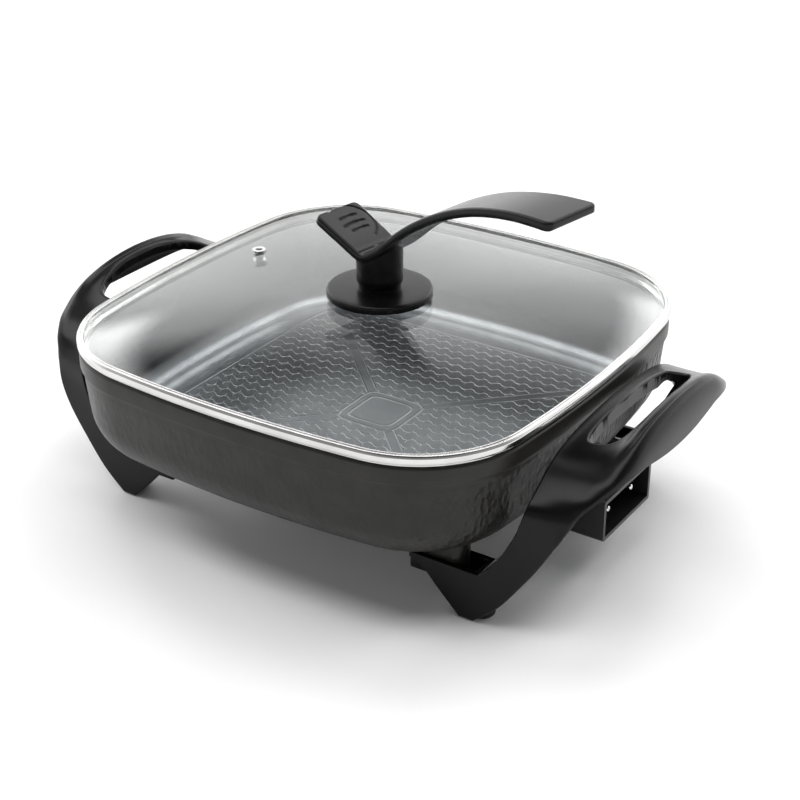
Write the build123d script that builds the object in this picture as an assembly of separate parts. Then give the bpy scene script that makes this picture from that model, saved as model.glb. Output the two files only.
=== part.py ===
from build123d import *
from math import sqrt
import os

# Electric skillet: a bulged-square die-cast pan with a cast-in heating element,
# two moulded side frames that are handle and legs in one piece, a socket for a
# plug-in temperature probe, and a domed glass lid with a stand-up lever knob.
# Millimetres. Origin: centre of the footprint on the table, +Z up,
# X runs from handle to handle, the probe socket is on the +X side.

# ---------------------------------------------------------------- overall sizes
overall_length = 415.1          # over both handles, along X
lid_size = 315.2                # over the steel lid band, along X and along Y
glass_top_height = 135.0        # top of the glass at the middle, above the table

# ---------------------------------------------------------------- plan outline
side_bulge = 0.100              # how far a corner falls back, as a share of half the size
lid_corner = 74.4               # corner radius of the lid band

# ---------------------------------------------------------------- pan
pan_bottom_z = 47.0             # flat underside of the pan above the table
pan_floor = 5.5                 # thickness of the pan's floor
pan_rim_z = 115.3               # top of the pan's rim
rim_height = 12.0               # height of the thickened rim
rim_inset = 0.8                 # the pan's rim lies this far inside the lid band
wall_step = 1.3                 # wall set back under the rim
wall_draft = 5.2                # how much further in the wall is at the bottom
wall_thickness = 4.6
bottom_radius = 31.0            # outer radius between wall and underside
floor_radius = 24.0             # inner radius between wall and floor
rim_round = 2.0

# ---------------------------------------------------------------- heating element
element_diameter = 8.0
element_z = 44.0                # height of the element's axis, and of the socket's middle
element_half = 86.0             # half of the element's square loop
element_corner = 30.0
element_neck = 12.0             # bend radius where the ends turn out to the socket
terminal_pitch = 30.0           # between the two terminal pins
bead_width = 16.0               # cast bead that encloses the element
bead_drop = 9.5                 # bead below the pan's underside
cast_clearance = 0.05           # element to bead

# ---------------------------------------------------------------- probe socket
boss_inset = 23.6               # the boss's machined face inside the lid band's outermost point
boss_length = 26.0
boss_width = 62.0
probe_hole_diameter = 6.8       # for the rod of the temperature probe
probe_hole_depth = 42.0
shroud_width = 61.0
shroud_height = 27.0
shroud_length = 41.3            # from its back to its open mouth
shroud_wall = 2.5
shroud_back = 3.0               # thickness of the plate that is screwed to the boss
shroud_gap = 0.4                # between shroud and pan
shroud_corner = 2.0
shroud_screw_pitch = 49.0
shroud_screw_diameter = 3.5
shroud_screw_head = 6.0
shroud_screw_head_height = 2.4
shroud_screw_depth = 12.0

terminal_diameter = 4.0
terminal_stem = 3.0             # thinner part of a pin inside its bush
terminal_setback = 4.5          # pin's tip behind the shroud's mouth
terminal_round = 1.2
terminal_inset = 8.0            # length of pin inside the element's tube
insulator_stem = 5.9            # ceramic stem inside the tube's end
insulator_collar = 5.0          # length of the collar in front of the tube
insulator_clearance = 0.05
tube_proud = 0.4                # tube end in front of the shroud's back plate

# ---------------------------------------------------------------- side frames
frame_inset = 55.0              # front and back faces of the legs inside the lid band's outermost point
leg_depth = 21.0                # depth of a leg along Y
frame_wall = 3.0
strip_gap = 3.4                 # between the lid band and the handle's inner strip
strip_width = 9.0               # inner strip beside the finger slot
strip_top_z = 110.5
plate_thickness = 5.5           # of the handle's arched plate
slot_edge_z = 116.5             # plate at the outer edge of the finger slot
handle_top_z = 122.0            # crown of the handle's outer bar
handle_edge_z = 103.0           # lower outer edge of the bar
bar_width = 13.55               # outer bar beside the finger slot
slot_length = 104.0
slot_bow = 0.1875               # the slot is narrower at its ends by this share of its width
slot_corner = 7.0
foot_tip_inset = 35.6           # inner corner of the foot's tip inside the lid band's outermost point
foot_tip_width = 9.3
foot_tip_z = 0.4                # the tip stays just off the table
web_top_z = 33.0                # top of the channel that carries the pan
web_length = 45.5               # from the channel's inner end to the leg
web_low_z = 26.0
web_corner = 12.0               # leg's inner corner outside the foot's tip
web_chamfer = (7.5, 3.5)        # slant under the channel's inner end
channel_floor = 3.5
lug_rest_z = 26.0               # the pan's lug stands on the channel floor at this height

# outer edge of a leg: shares of the way from the foot's tip to the handle's edge
leg_outer = [(0.186, 0.123), (0.317, 0.246), (0.475, 0.406), (0.626, 0.620), (0.690, 0.725),
             (0.770, 0.825), (0.849, 0.895), (0.928, 0.965)]
# inner edge of a leg: shares of the way from the channel's corner to the handle's strip
leg_inner = [(0.30, 0.105), (0.52, 0.217), (0.80, 0.355), (0.97, 0.60)]
# crown of the handle seen from the front: share of the face's distance, share of the crown's height
crown_line = [(0.297, 0.984), (0.492, 0.930), (0.682, 0.857), (0.799, 0.789), (0.919, 0.716), (0.984, 0.660)]
crown_foot = 0.565              # share of the crown's height where the face turns upright
# plan of the handle's outer edge: share of the face's distance, set back as a share of the handle's depth
edge_plan = [(0.487, 0.028), (0.700, 0.107), (0.799, 0.236), (0.897, 0.376), (0.965, 0.505), (1.0, 0.612)]

# ---------------------------------------------------------------- lugs and screws
lug_length = 29.0
lug_width = 15.0
lug_place = 19.0                # middle of a lug from the channel's inner end
lug_clearance = 0.05
frame_screw_diameter = 4.0
frame_screw_head = 8.0
frame_screw_head_height = 2.8
frame_screw_grip = 10.0         # thread in the lug
washer_thickness = 1.0
washer_diameter = 10.0
screw_clearance = 0.05

# ---------------------------------------------------------------- feet
foot_place = 9.0                # foot's middle from the inner corner of the leg's tip
foot_inset = 11.6               # foot's middle behind the leg's face
foot_diameter = 16.0
foot_height = 12.0
foot_round = 1.8
foot_recess_diameter = 8.4
foot_recess_depth = 5.5
foot_screw_diameter = 3.9
foot_screw_head = 7.0
foot_screw_head_height = 2.4
foot_screw_grip = 9.0

# ---------------------------------------------------------------- lid
glass_thickness = 4.0
glass_edge_z = 121.0            # top of the glass at its edge
glass_inset = 1.7               # glass edge inside the lid band's outer face
band_low_z = 115.6
band_height = 6.6
band_wall = 1.2
band_flange = 6.5               # inward flange that rests on the pan
band_flange_thickness = 1.0
band_lip = 4.4                  # lip over the glass
band_lip_thickness = 0.9
vent_inset = 43.6               # vent inside the lid band's outermost point
vent_y = 26.0
vent_hole = 6.0
vent_flange = 9.0
vent_wall = 0.6
vent_flange_thickness = 0.8
vent_clearance = 0.05

# ---------------------------------------------------------------- knob
base_diameter = 66.0
base_rise = 5.0                 # top of the base plate above the crown of the glass
base_rim_drop = 0.2             # base plate's rim below the crown of the glass
base_recess_diameter = 56.0
base_round = 1.6
gasket_diameter = 20.0
gasket_thickness = 1.4
gasket_gap = 0.05               # gasket to the faces it seals
knob_washer_diameter = 18.0
knob_washer_thickness = 1.2
knob_screw_diameter = 5.0
knob_screw_head = 10.0
knob_screw_head_height = 3.2
knob_screw_reach = 16.0         # into the column
glass_hole = 8.0
insert_diameter = 9.0
insert_length = 14.0
column_diameter = 29.0
column_neck = 26.4
column_ring = 28.4
neck_low = 1.0                  # height of the ring under the neck
neck_mid = 2.3
neck_top = 4.7
lever_thickness = 5.5
lever_turn = -10.0              # the lever is turned this much about the knob's axis
lever_round = 3.0
# plan of the lever's strip: distance from the knob's axis, half width
lever_plan = [(-40.5, 18.15), (0.0, 17.2), (30.0, 16.8), (90.0, 18.6), (147.0, 21.85)]
# middle line of the lever's strip: distance from the knob's axis, height over the base plate
lever_line = [(-38.5, 39.0), (-22.5, 31.8), (-8.0, 25.3), (-0.5, 23.0), (6.0, 25.6), (12.8, 30.4),
              (28.6, 44.0), (44.6, 55.8), (60.2, 64.8), (75.6, 71.9), (90.6, 77.0), (105.5, 80.4),
              (119.9, 82.5), (146.0, 83.6)]

# ---------------------------------------------------------------- derived values
lid_half = lid_size / 2
handle_x = overall_length / 2
corner_share = (sqrt(1 + 4 * side_bulge) - 1) / (2 * side_bulge)
rim_half = lid_half - rim_inset
wall_half = rim_half - wall_step
cavity_half = wall_half - wall_thickness
floor_z = pan_bottom_z + pan_floor
wall_top_z = pan_rim_z - rim_height
strip_x = lid_half + strip_gap
slot_x = strip_x + strip_width
slot_width = handle_x - bar_width - slot_x
frame_face = lid_half - frame_inset
leg_back = frame_face - leg_depth
element_radius = element_diameter / 2
bead_low_z = pan_bottom_z - bead_drop
shroud_low_z = element_z - shroud_height / 2
boss_face_x = lid_half - boss_inset
shroud_face_x = boss_face_x + shroud_gap
shroud_reach = shroud_face_x + shroud_length
terminal_tip_x = shroud_reach - terminal_setback
tube_end_x = shroud_face_x + shroud_back + tube_proud
foot_tip_x = lid_half - foot_tip_inset
web_corner_x = foot_tip_x + web_corner
web_end_x = web_corner_x - web_length
lug_x = web_end_x + lug_place
foot_x = foot_tip_x + foot_place
foot_y = frame_face - foot_inset
lug_y = frame_face - leg_depth / 2
vent_x = vent_inset - lid_half
base_top_z = glass_top_height + base_rise
glass_under_z = glass_top_height - glass_thickness
gasket_drop = (glass_top_height - glass_edge_z) * (gasket_diameter / lid_size) ** 2
lower_gasket_z = glass_under_z - gasket_drop - gasket_gap - gasket_thickness
knob_washer_z = lower_gasket_z - knob_washer_thickness
base_under_z = glass_top_height + gasket_thickness + 2 * gasket_gap
high = 400.0                    # taller and wider than the whole object, for cutting tools


def outline(half, z=0.0):
    """Bulged square: four arcs through (half, 0) and its turns, with rounded corners."""
    corner = lid_corner - (lid_half - half)
    meet = half * corner_share
    sides = ThreePointArc((meet, -meet), (half, 0), (meet, meet))
    sides += ThreePointArc((meet, meet), (0, half), (-meet, meet))
    sides += ThreePointArc((-meet, meet), (-half, 0), (-meet, -meet))
    sides += ThreePointArc((-meet, -meet), (0, -half), (meet, -meet))
    face = make_face(sides)
    return Pos(0, 0, z) * fillet(face.vertices(), corner)


def slab(half, low, top):
    """Straight block of the plan outline between two heights."""
    return extrude(outline(half, low), amount=top - low)


def bowl(low_half, top_half, low, top, radius):
    """Drafted block of the plan outline with a rounded underside."""
    body = loft([outline(low_half, low), outline(top_half, top)])
    return fillet(body.edges().group_by(Axis.Z)[0], radius)


def rod(start, direction, radius, length):
    """Cylinder from a point along a direction."""
    return extrude(Plane(start, z_dir=direction) * Circle(radius), amount=length)


def upright(x, y, low, top, radius):
    """Vertical cylinder between two heights."""
    return rod((x, y, low), (0, 0, 1), radius, top - low)


def box_between(x, y, z):
    """Box between two values on each axis."""
    size = (x[1] - x[0], y[1] - y[0], z[1] - z[0])
    return Pos((x[0] + x[1]) / 2, (y[0] + y[1]) / 2, (z[0] + z[1]) / 2) * Box(*size)


def save(node, *solids):
    """Write one node's solids to its own file."""
    shape = solids[0] if len(solids) == 1 else Compound(children=list(solids))
    export_step(shape, f"parts/{node}.step")


# ================================================================= pan
def element_path():
    """Square loop of the element with both ends brought out towards +X."""
    pin_y = terminal_pitch / 2
    half = element_half
    points = [(tube_end_x, -pin_y), (half, -pin_y), (half, -half), (-half, -half),
              (-half, half), (half, half), (half, pin_y), (tube_end_x, pin_y)]
    radii = [element_neck] + [element_corner] * 4 + [element_neck]
    return Pos(0, 0, element_z) * FilletPolyline(*points, radius=radii)


def along_element(section):
    """Sweep a section, drawn at the element's first end, along the element."""
    path = element_path()
    return sweep(Plane(path @ 0, z_dir=path % 0) * section, path=path)


def pan_outside(grow=0.0):
    """The pan's outer form without its rim, optionally grown for clearance."""
    return bowl(wall_half - wall_draft + grow, wall_half + grow, pan_bottom_z - grow, wall_top_z,
                bottom_radius)


def make_pan():
    """Cast pan: wall, rim, floor, element bead, socket boss, probe rib and four lugs."""
    rim = slab(rim_half, wall_top_z, pan_rim_z)
    rim = fillet(rim.edges().group_by(Axis.Z)[0], rim_round)
    cavity = bowl(cavity_half - wall_draft, cavity_half, floor_z, pan_rim_z + wall_step, floor_radius)
    inside_z = floor_z - pan_floor / 2
    bead_outer = 2 * element_half + bead_width
    bead_inner = 2 * element_half - bead_width
    bead = RectangleRounded(bead_outer, bead_outer, element_corner + bead_width / 2)
    bead -= RectangleRounded(bead_inner, bead_inner, element_corner - bead_width / 2)
    bead = Pos(0, 0, bead_low_z) * extrude(bead, amount=inside_z - bead_low_z)
    boss = box_between((boss_face_x - boss_length, boss_face_x), (-boss_width / 2, boss_width / 2),
                       (bead_low_z, inside_z))
    terminal_rib = terminal_pitch + bead_width
    boss += box_between((bead_inner / 2, boss_face_x), (-terminal_rib / 2, terminal_rib / 2),
                        (bead_low_z, inside_z))
    body = pan_outside() + rim + bead + boss
    for x_side in (-1, 1):
        for y_side in (-1, 1):
            x, y = x_side * lug_x, y_side * lug_y
            lug = extrude(SlotOverall(lug_length, lug_width), amount=inside_z - lug_rest_z)
            body += Pos(x, y, lug_rest_z + lug_clearance) * lug
            body -= upright(x, y, lug_rest_z, lug_rest_z + frame_screw_grip + 1,
                            frame_screw_diameter / 2 + screw_clearance)
    body -= cavity
    body -= along_element(Circle(element_radius + cast_clearance))
    body -= rod((boss_face_x, 0, element_z), (-1, 0, 0), probe_hole_diameter / 2, probe_hole_depth)
    for y_side in (-1, 1):
        body -= rod((boss_face_x, y_side * shroud_screw_pitch / 2, element_z), (-1, 0, 0),
                    shroud_screw_diameter / 2 + screw_clearance, shroud_screw_depth + 1)
    return body


def make_element():
    """Tubular element, open at both ends where the ceramic stems go in."""
    tube = along_element(Circle(element_radius))
    for y_side in (-1, 1):
        tube -= rod((tube_end_x, y_side * terminal_pitch / 2, element_z), (-1, 0, 0),
                    insulator_stem / 2 + insulator_clearance, terminal_inset)
    return tube


def make_insulators():
    """Ceramic bushes that hold the pins in the element's ends."""
    bushes = []
    for y_side in (-1, 1):
        middle = (tube_end_x, y_side * terminal_pitch / 2, element_z)
        stem = rod(middle, (-1, 0, 0), insulator_stem / 2, terminal_inset - insulator_clearance)
        collar = rod(middle, (1, 0, 0), element_radius, insulator_collar)
        collar = fillet(collar.edges().group_by(Axis.X)[-1], terminal_round / 2)
        bore = rod((tube_end_x - high / 2, middle[1], element_z), (1, 0, 0),
                   terminal_stem / 2 + insulator_clearance, high)
        bushes.append(stem + collar - bore)
    return bushes


def make_terminals():
    """Two round pins with rounded tips, on thinner stems that pass through the bushes."""
    pins = []
    start_x = tube_end_x - terminal_inset + insulator_clearance
    shoulder_x = tube_end_x + insulator_collar + insulator_clearance
    for y_side in (-1, 1):
        pin_y = y_side * terminal_pitch / 2
        pin = rod((shoulder_x, pin_y, element_z), (1, 0, 0), terminal_diameter / 2,
                  terminal_tip_x - shoulder_x)
        pin = fillet(pin.edges().group_by(Axis.X)[-1], terminal_round)
        pins.append(pin + rod((start_x, pin_y, element_z), (1, 0, 0), terminal_stem / 2,
                              shoulder_x - start_x))
    return pins


# ================================================================= socket shroud
def make_shroud():
    """Open box round the pins, screwed to the boss and cut clear of the pan."""
    half_width = shroud_width / 2
    top_z = shroud_low_z + shroud_height
    box = box_between((shroud_face_x, shroud_reach), (-half_width, half_width), (shroud_low_z, top_z))
    box = fillet(box.edges().filter_by(Axis.X), shroud_corner)
    hollow = box_between((shroud_face_x + shroud_back, shroud_reach + 1),
                         (shroud_wall - half_width, half_width - shroud_wall),
                         (shroud_low_z + shroud_wall, top_z - shroud_wall))
    box -= hollow
    box -= pan_outside(shroud_gap)
    for y_side in (-1, 1):
        box -= rod((shroud_face_x - 1, y_side * terminal_pitch / 2, element_z), (1, 0, 0),
                   element_radius + shroud_gap, shroud_back + 2)
        box -= rod((shroud_face_x - 1, y_side * shroud_screw_pitch / 2, element_z), (1, 0, 0),
                   shroud_screw_diameter / 2 + screw_clearance, shroud_back + 2)
    box -= rod((shroud_face_x - 1, 0, element_z), (1, 0, 0), probe_hole_diameter / 2 + shroud_gap,
               shroud_back + 2)
    return box.solids().sort_by(SortBy.VOLUME)[-1]


def screw(tip, direction, radius, length, head_radius, head_height):
    """Screw from its tip along a direction to its domed head."""
    shank = rod(tip, direction, radius, length)
    seat = Vector(*tip) + Vector(*direction) * length
    head = rod(tuple(seat), direction, head_radius, head_height)
    far = head.edges().sort_by(lambda edge: (edge.center() - seat).length)[-1]
    return shank + fillet(far, head_height * 0.45)


def make_shroud_screws():
    """Two screws that hold the shroud's back plate to the boss."""
    start_x = boss_face_x - shroud_screw_depth
    length = shroud_face_x + shroud_back - start_x
    places = [(start_x, side * shroud_screw_pitch / 2, element_z) for side in (-1, 1)]
    return [screw(place, (1, 0, 0), shroud_screw_diameter / 2, length, shroud_screw_head / 2,
                  shroud_screw_head_height) for place in places]


# ================================================================= side frames
def handle_top():
    """Section of the handle's upper face at the middle: lower outer edge, crown, slot edge and strip."""
    slot_out = slot_x + slot_width
    rise = handle_top_z - handle_edge_z
    bar = Spline((handle_x, handle_edge_z), (handle_x - 0.06 * bar_width, handle_edge_z + 0.5 * rise),
                 (handle_x - 0.25 * bar_width, handle_top_z - 0.12 * rise),
                 (handle_x - 0.55 * bar_width, handle_top_z - 0.04 * rise), (slot_out, slot_edge_z))
    return bar + Polyline((slot_out, slot_edge_z), (slot_x, strip_top_z + 0.5), (strip_x, strip_top_z))


def side_view():
    """Frame seen from the front: foot, channel arm, leg and handle, as one outline in X and Z."""
    tip_out = foot_tip_x + foot_tip_width
    reach = handle_x - tip_out
    rise = handle_edge_z - foot_tip_z
    outer = [(tip_out, foot_tip_z)] + [(tip_out + a * reach, foot_tip_z + b * rise) for a, b in leg_outer]
    outer += [(handle_x, handle_edge_z)]
    inner = [(web_corner_x, web_top_z)]
    inner += [(web_corner_x + a * (strip_x - web_corner_x), web_top_z + b * (strip_top_z - web_top_z))
              for a, b in leg_inner]
    inner += [(strip_x, strip_top_z)]
    lines = Polyline((foot_tip_x, foot_tip_z), (tip_out, foot_tip_z))
    lines += Spline(*outer)
    lines += handle_top()
    lines += Spline(*reversed(inner))
    lines += Polyline((web_corner_x, web_top_z), (web_end_x, web_top_z),
                      (web_end_x, web_low_z + web_chamfer[1]), (web_end_x + web_chamfer[0], web_low_z),
                      (foot_tip_x, foot_tip_z))
    return make_face(lines)


def below_handle():
    """Everything under the handle's upper face, down past the table, as an outline in X and Z."""
    down = Polyline((strip_x, strip_top_z), (strip_x, -high), (handle_x, -high), (handle_x, handle_edge_z))
    return make_face(handle_top() + down)


def front_view():
    """Frame seen from the side: the crowned handle over the upright leg faces, as one outline in Y and Z."""
    crown = [(frame_face * a, handle_top_z * b) for a, b in crown_line]
    foot = (frame_face, handle_top_z * crown_foot)
    left = [(-y, z) for y, z in [foot] + crown[::-1]]
    lines = Spline(*left, (0, handle_top_z), *crown, foot)
    lines += Polyline(foot, (frame_face, -high), (-frame_face, -high), left[0])
    return make_face(lines)


def plan_view():
    """Frame seen from above: the bowed outer edge with drawn-in corners."""
    depth = handle_x - strip_x
    edge = [(frame_face * a, handle_x - b * depth) for a, b in edge_plan]
    edge = [(handle_x, 0.0)] + [(x, y) for y, x in edge]
    points = [(x, -y) for x, y in reversed(edge)] + edge[1:]
    lines = Spline(*points)
    lines += Polyline(points[-1], (web_end_x, frame_face), (web_end_x, -frame_face), points[0])
    return make_face(lines)


def finger_slot():
    """Slot through the handle: straight inside, bowed outside, with rounded ends."""
    half = slot_length / 2
    narrow = slot_width * (1 - slot_bow)
    lines = Line((slot_x, -half), (slot_x, half))
    lines += Line((slot_x, half), (slot_x + narrow, half))
    lines += ThreePointArc((slot_x + narrow, half), (slot_x + slot_width, 0), (slot_x + narrow, -half))
    lines += Line((slot_x + narrow, -half), (slot_x, -half))
    face = make_face(lines)
    return extrude(fillet(face.vertices(), min(slot_corner, 0.45 * narrow)), amount=high)


def make_right_frame():
    """Handle, two legs and two channel arms as one moulding."""
    from_side = extrude(Plane.YZ * front_view(), amount=high)
    from_top = Pos(0, 0, -high) * extrude(plan_view(), amount=2 * high)
    crowned = from_side & from_top
    side_face = side_view()
    body = crowned & extrude(Plane.XZ * side_face, amount=high / 2, both=True)
    between = box_between((0, high), (-leg_back, leg_back), (-high, high))
    under = crowned & extrude(Plane.XZ * below_handle(), amount=high / 2, both=True)
    body -= between & (Pos(-frame_wall, 0, -plate_thickness) * under)
    body -= box_between((0, strip_x), (-leg_back, leg_back), (-high, high))
    body -= Pos(0, 0, web_top_z + channel_floor) * finger_slot()
    hollow = (Pos(-frame_wall, 0, 0) * side_face) & (Pos(frame_wall, 0, 0) * side_face)
    for side in (-1, 1):
        outer_y = side * (frame_face - frame_wall)
        inner_y = side * (leg_back + frame_wall)
        back_y = side * (leg_back - 1)
        ys = sorted((outer_y, inner_y))
        behind = sorted((outer_y, back_y))
        hollow_leg = extrude(Plane.XZ * hollow, amount=high / 2, both=True)
        hollow_leg &= box_between((web_corner_x + frame_wall, high), behind,
                                  (web_top_z - channel_floor, handle_top_z * crown_foot))
        body -= hollow_leg
        arm_x = foot_tip_x - 4
        body -= box_between((web_end_x + frame_wall, web_corner_x - frame_wall), ys,
                            (lug_rest_z, web_top_z + 1))
        body -= box_between((web_end_x - 1, arm_x), behind, (-1, lug_rest_z - channel_floor))
        body -= box_between((arm_x - 1, foot_x + foot_diameter), behind, (-1, foot_height))
        body -= upright(lug_x, side * lug_y, 0, high / 4, frame_screw_diameter / 2 + screw_clearance)
        body -= upright(foot_x, side * foot_y, 0, foot_height + foot_screw_grip + 1,
                        foot_screw_diameter / 2 + screw_clearance)
    return body.solids().sort_by(SortBy.VOLUME)[-1]


def corner_places(x, y):
    """The four places that mirror one place in both middle planes."""
    return [(x_side * x, y_side * y) for x_side in (-1, 1) for y_side in (-1, 1)]


def make_frame_washers():
    """Plain washers between the frame screws' heads and the channel floors."""
    top = lug_rest_z - channel_floor
    ring = Circle(washer_diameter / 2) - Circle(frame_screw_diameter / 2 + screw_clearance)
    ring = Pos(0, 0, top - washer_thickness) * extrude(ring, amount=washer_thickness)
    return [Pos(x, y, 0) * ring for x, y in corner_places(lug_x, lug_y)]


def make_frame_screws():
    """Screws from below through the channel floors into the pan's lugs."""
    seat = lug_rest_z - channel_floor - washer_thickness
    tip = lug_rest_z + frame_screw_grip
    return [screw((x, y, tip), (0, 0, -1), frame_screw_diameter / 2, tip - seat, frame_screw_head / 2,
                  frame_screw_head_height) for x, y in corner_places(lug_x, lug_y)]


def make_foot(x, y):
    """Rubber foot with a recess for its screw."""
    foot = upright(x, y, 0, foot_height, foot_diameter / 2)
    foot = fillet(foot.edges().group_by(Axis.Z)[0], foot_round)
    foot -= upright(x, y, -1, foot_recess_depth, foot_recess_diameter / 2)
    return foot - upright(x, y, 0, foot_height + 1, foot_screw_diameter / 2 + screw_clearance)


def make_foot_screws():
    """Screws that hold the rubber feet, with their heads up in the recess."""
    tip = foot_height + foot_screw_grip
    return [screw((x, y, tip), (0, 0, -1), foot_screw_diameter / 2, tip - foot_recess_depth,
                  foot_screw_head / 2, foot_screw_head_height) for x, y in corner_places(foot_x, foot_y)]


# ================================================================= lid
def dome_surface():
    """Top of the glass: height falls with the square root of x^4 + y^4 from the middle to the edge."""
    half = lid_half - glass_inset
    fall = glass_top_height - glass_edge_z
    count = 24
    steps = [-1.1 + 2.2 * i / count for i in range(count + 1)]
    rows = [[Vector(u * half, v * half, glass_top_height - fall * sqrt(u ** 4 + v ** 4)) for v in steps]
            for u in steps]
    return Face.make_surface_from_array_of_points(rows)


def make_glass():
    """Domed glass plate with the knob's hole and the vent's hole."""
    under = extrude(dome_surface(), amount=high / 4, dir=(0, 0, -1))
    plate = under & slab(lid_half - glass_inset, glass_edge_z - 3 * glass_thickness, glass_top_height + 1)
    plate -= Pos(0, 0, -glass_thickness) * under
    plate -= upright(0, 0, 0, high, glass_hole / 2)
    plate -= upright(vent_x, vent_y, 0, high, vent_hole / 2)
    return plate.solids().sort_by(SortBy.VOLUME)[-1]


def make_band():
    """Steel band rolled round the glass: outer wall, flange under the glass, lip over it."""
    top = band_low_z + band_height
    wall = slab(lid_half, band_low_z, top) - slab(lid_half - band_wall, band_low_z - 1, top + 1)
    flange = slab(lid_half, band_low_z, band_low_z + band_flange_thickness)
    flange -= slab(lid_half - band_flange, band_low_z - 1, top + 1)
    lip = slab(lid_half, top, top + band_lip_thickness) - slab(lid_half - band_lip, band_low_z - 1, top + 2)
    lip = fillet(lip.edges().group_by(Axis.Z)[-1], band_lip_thickness * 0.45)
    return wall + flange + lip


def make_vent(surface_z):
    """Steel eyelet in the glass that lets steam out."""
    radius = vent_hole / 2 - vent_clearance
    low = surface_z - glass_thickness - 1.0
    top = surface_z + 1.0
    eyelet = upright(vent_x, vent_y, low - vent_flange_thickness, top + vent_flange_thickness, radius)
    eyelet += upright(vent_x, vent_y, low - vent_flange_thickness, low, vent_flange / 2)
    eyelet += upright(vent_x, vent_y, top, top + vent_flange_thickness, vent_flange / 2)
    return eyelet - upright(vent_x, vent_y, 0, high, radius - vent_wall)


# ================================================================= knob
def make_base():
    """Round base plate, hollow underneath for the gasket."""
    low = glass_top_height - base_rim_drop
    plate = upright(0, 0, low, base_top_z, base_diameter / 2)
    plate = fillet(plate.edges().group_by(Axis.Z)[-1], base_round)
    plate -= upright(0, 0, low - 1, base_under_z, base_recess_diameter / 2)
    return plate - upright(0, 0, 0, high, knob_screw_diameter / 2 + screw_clearance)


def lever_middle():
    """Middle line of the lever's strip in X and Z."""
    return Spline(*[(s, base_top_z + h) for s, h in lever_line])


def make_knob():
    """Column with a narrow neck, carrying the bent lever that also stands the lid up."""
    middle = lever_middle()
    strip = Plane.XZ * trace(middle, lever_thickness)
    far_edge = [(x, -y) for x, y in reversed(lever_plan)]
    strip = extrude(strip, amount=2 * lever_plan[-1][1], both=True)
    plan = Spline(*lever_plan) + Line(lever_plan[-1], far_edge[0])
    plan += Spline(*far_edge) + Line(far_edge[-1], lever_plan[0])
    plan = make_face(plan)
    plan = fillet(plan.vertices(), lever_round)
    strip &= extrude(plan, amount=high)
    start, end = middle @ 0, middle @ 1
    below = make_face(middle + Polyline(end, (end.X, base_top_z), (start.X, base_top_z), start))
    column = upright(0, 0, base_top_z + neck_top, high, column_diameter / 2)
    column &= extrude(Plane.XZ * below, amount=column_diameter, both=True)
    ring = upright(0, 0, base_top_z, base_top_z + neck_low, column_ring / 2)
    flare = [(column_ring, neck_low), (column_neck, neck_mid), (column_diameter, neck_top)]
    for (low_d, low), (top_d, top) in zip(flare, flare[1:]):
        low_circle = Pos(0, 0, base_top_z + low) * Circle(low_d / 2)
        ring += loft([low_circle, Pos(0, 0, base_top_z + top) * Circle(top_d / 2)])
    body = strip + column + ring
    body -= upright(0, 0, 0, base_top_z + insert_length + 1, insert_diameter / 2 + insulator_clearance)
    body -= upright(0, 0, 0, base_top_z + knob_screw_reach + 1, knob_screw_diameter / 2 + screw_clearance)
    return Rot(0, 0, lever_turn) * body


def make_insert():
    """Brass thread insert in the column."""
    ring = Circle(insert_diameter / 2) - Circle(knob_screw_diameter / 2 + screw_clearance)
    return Pos(0, 0, base_top_z) * extrude(ring, amount=insert_length)


def make_gaskets():
    """Silicone washers above and below the glass."""
    ring = Circle(gasket_diameter / 2) - Circle(knob_screw_diameter / 2 + screw_clearance)
    upper = Pos(0, 0, glass_top_height + gasket_gap) * extrude(ring, amount=gasket_thickness)
    lower = Pos(0, 0, lower_gasket_z) * extrude(ring, amount=gasket_thickness)
    return [upper, lower]


def make_knob_washer():
    """Steel washer under the lower gasket."""
    ring = Circle(knob_washer_diameter / 2) - Circle(knob_screw_diameter / 2 + screw_clearance)
    return Pos(0, 0, knob_washer_z) * extrude(ring, amount=knob_washer_thickness)


def make_knob_screw():
    """Screw from under the glass up into the insert."""
    tip = base_top_z + knob_screw_reach
    return screw((0, 0, tip), (0, 0, -1), knob_screw_diameter / 2, tip - knob_washer_z, knob_screw_head / 2,
                 knob_screw_head_height)


# ================================================================= write the nodes
os.makedirs("parts", exist_ok=True)

save("pan", make_pan())
save("heating_element", make_element())
save("terminal_insulators", *make_insulators())
save("terminal_pins", *make_terminals())
save("socket_shroud", make_shroud())
save("shroud_screws", *make_shroud_screws())

right_frame = make_right_frame()
save("right_handle_frame", right_frame)
save("left_handle_frame", mirror(right_frame, about=Plane.YZ))
save("frame_washers", *make_frame_washers())
save("frame_screws", *make_frame_screws())
for x_name, foot_at_x in (("left", -foot_x), ("right", foot_x)):
    for y_name, foot_at_y in (("front", -foot_y), ("rear", foot_y)):
        save(f"{x_name}_{y_name}_foot", make_foot(foot_at_x, foot_at_y))
save("foot_screws", *make_foot_screws())

vent_share = sqrt((vent_x / (lid_half - glass_inset)) ** 4 + (vent_y / (lid_half - glass_inset)) ** 4)
save("lid_glass", make_glass())
save("lid_band", make_band())
save("steam_vent", make_vent(glass_top_height - (glass_top_height - glass_edge_z) * vent_share))
save("knob_base", make_base())
save("knob_handle", make_knob())
save("knob_insert", make_insert())
save("knob_gaskets", *make_gaskets())
save("knob_washer", make_knob_washer())
save("knob_screw", make_knob_screw())
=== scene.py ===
"""Looks of an electric skillet with a glass lid.

A bulged-square cast pan stands in two moulded side frames that are handle and legs in one
piece. A domed glass lid in a polished steel band carries a bent lever knob. A socket for a
plug-in temperature probe is on the +X side. Shapes are worked out in millimetres in the same
frame as the CAD model and written to meshes in metres.
"""

import logging
import math
from collections.abc import Callable, Sequence
from dataclasses import dataclass, field, replace
from enum import Enum

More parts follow.
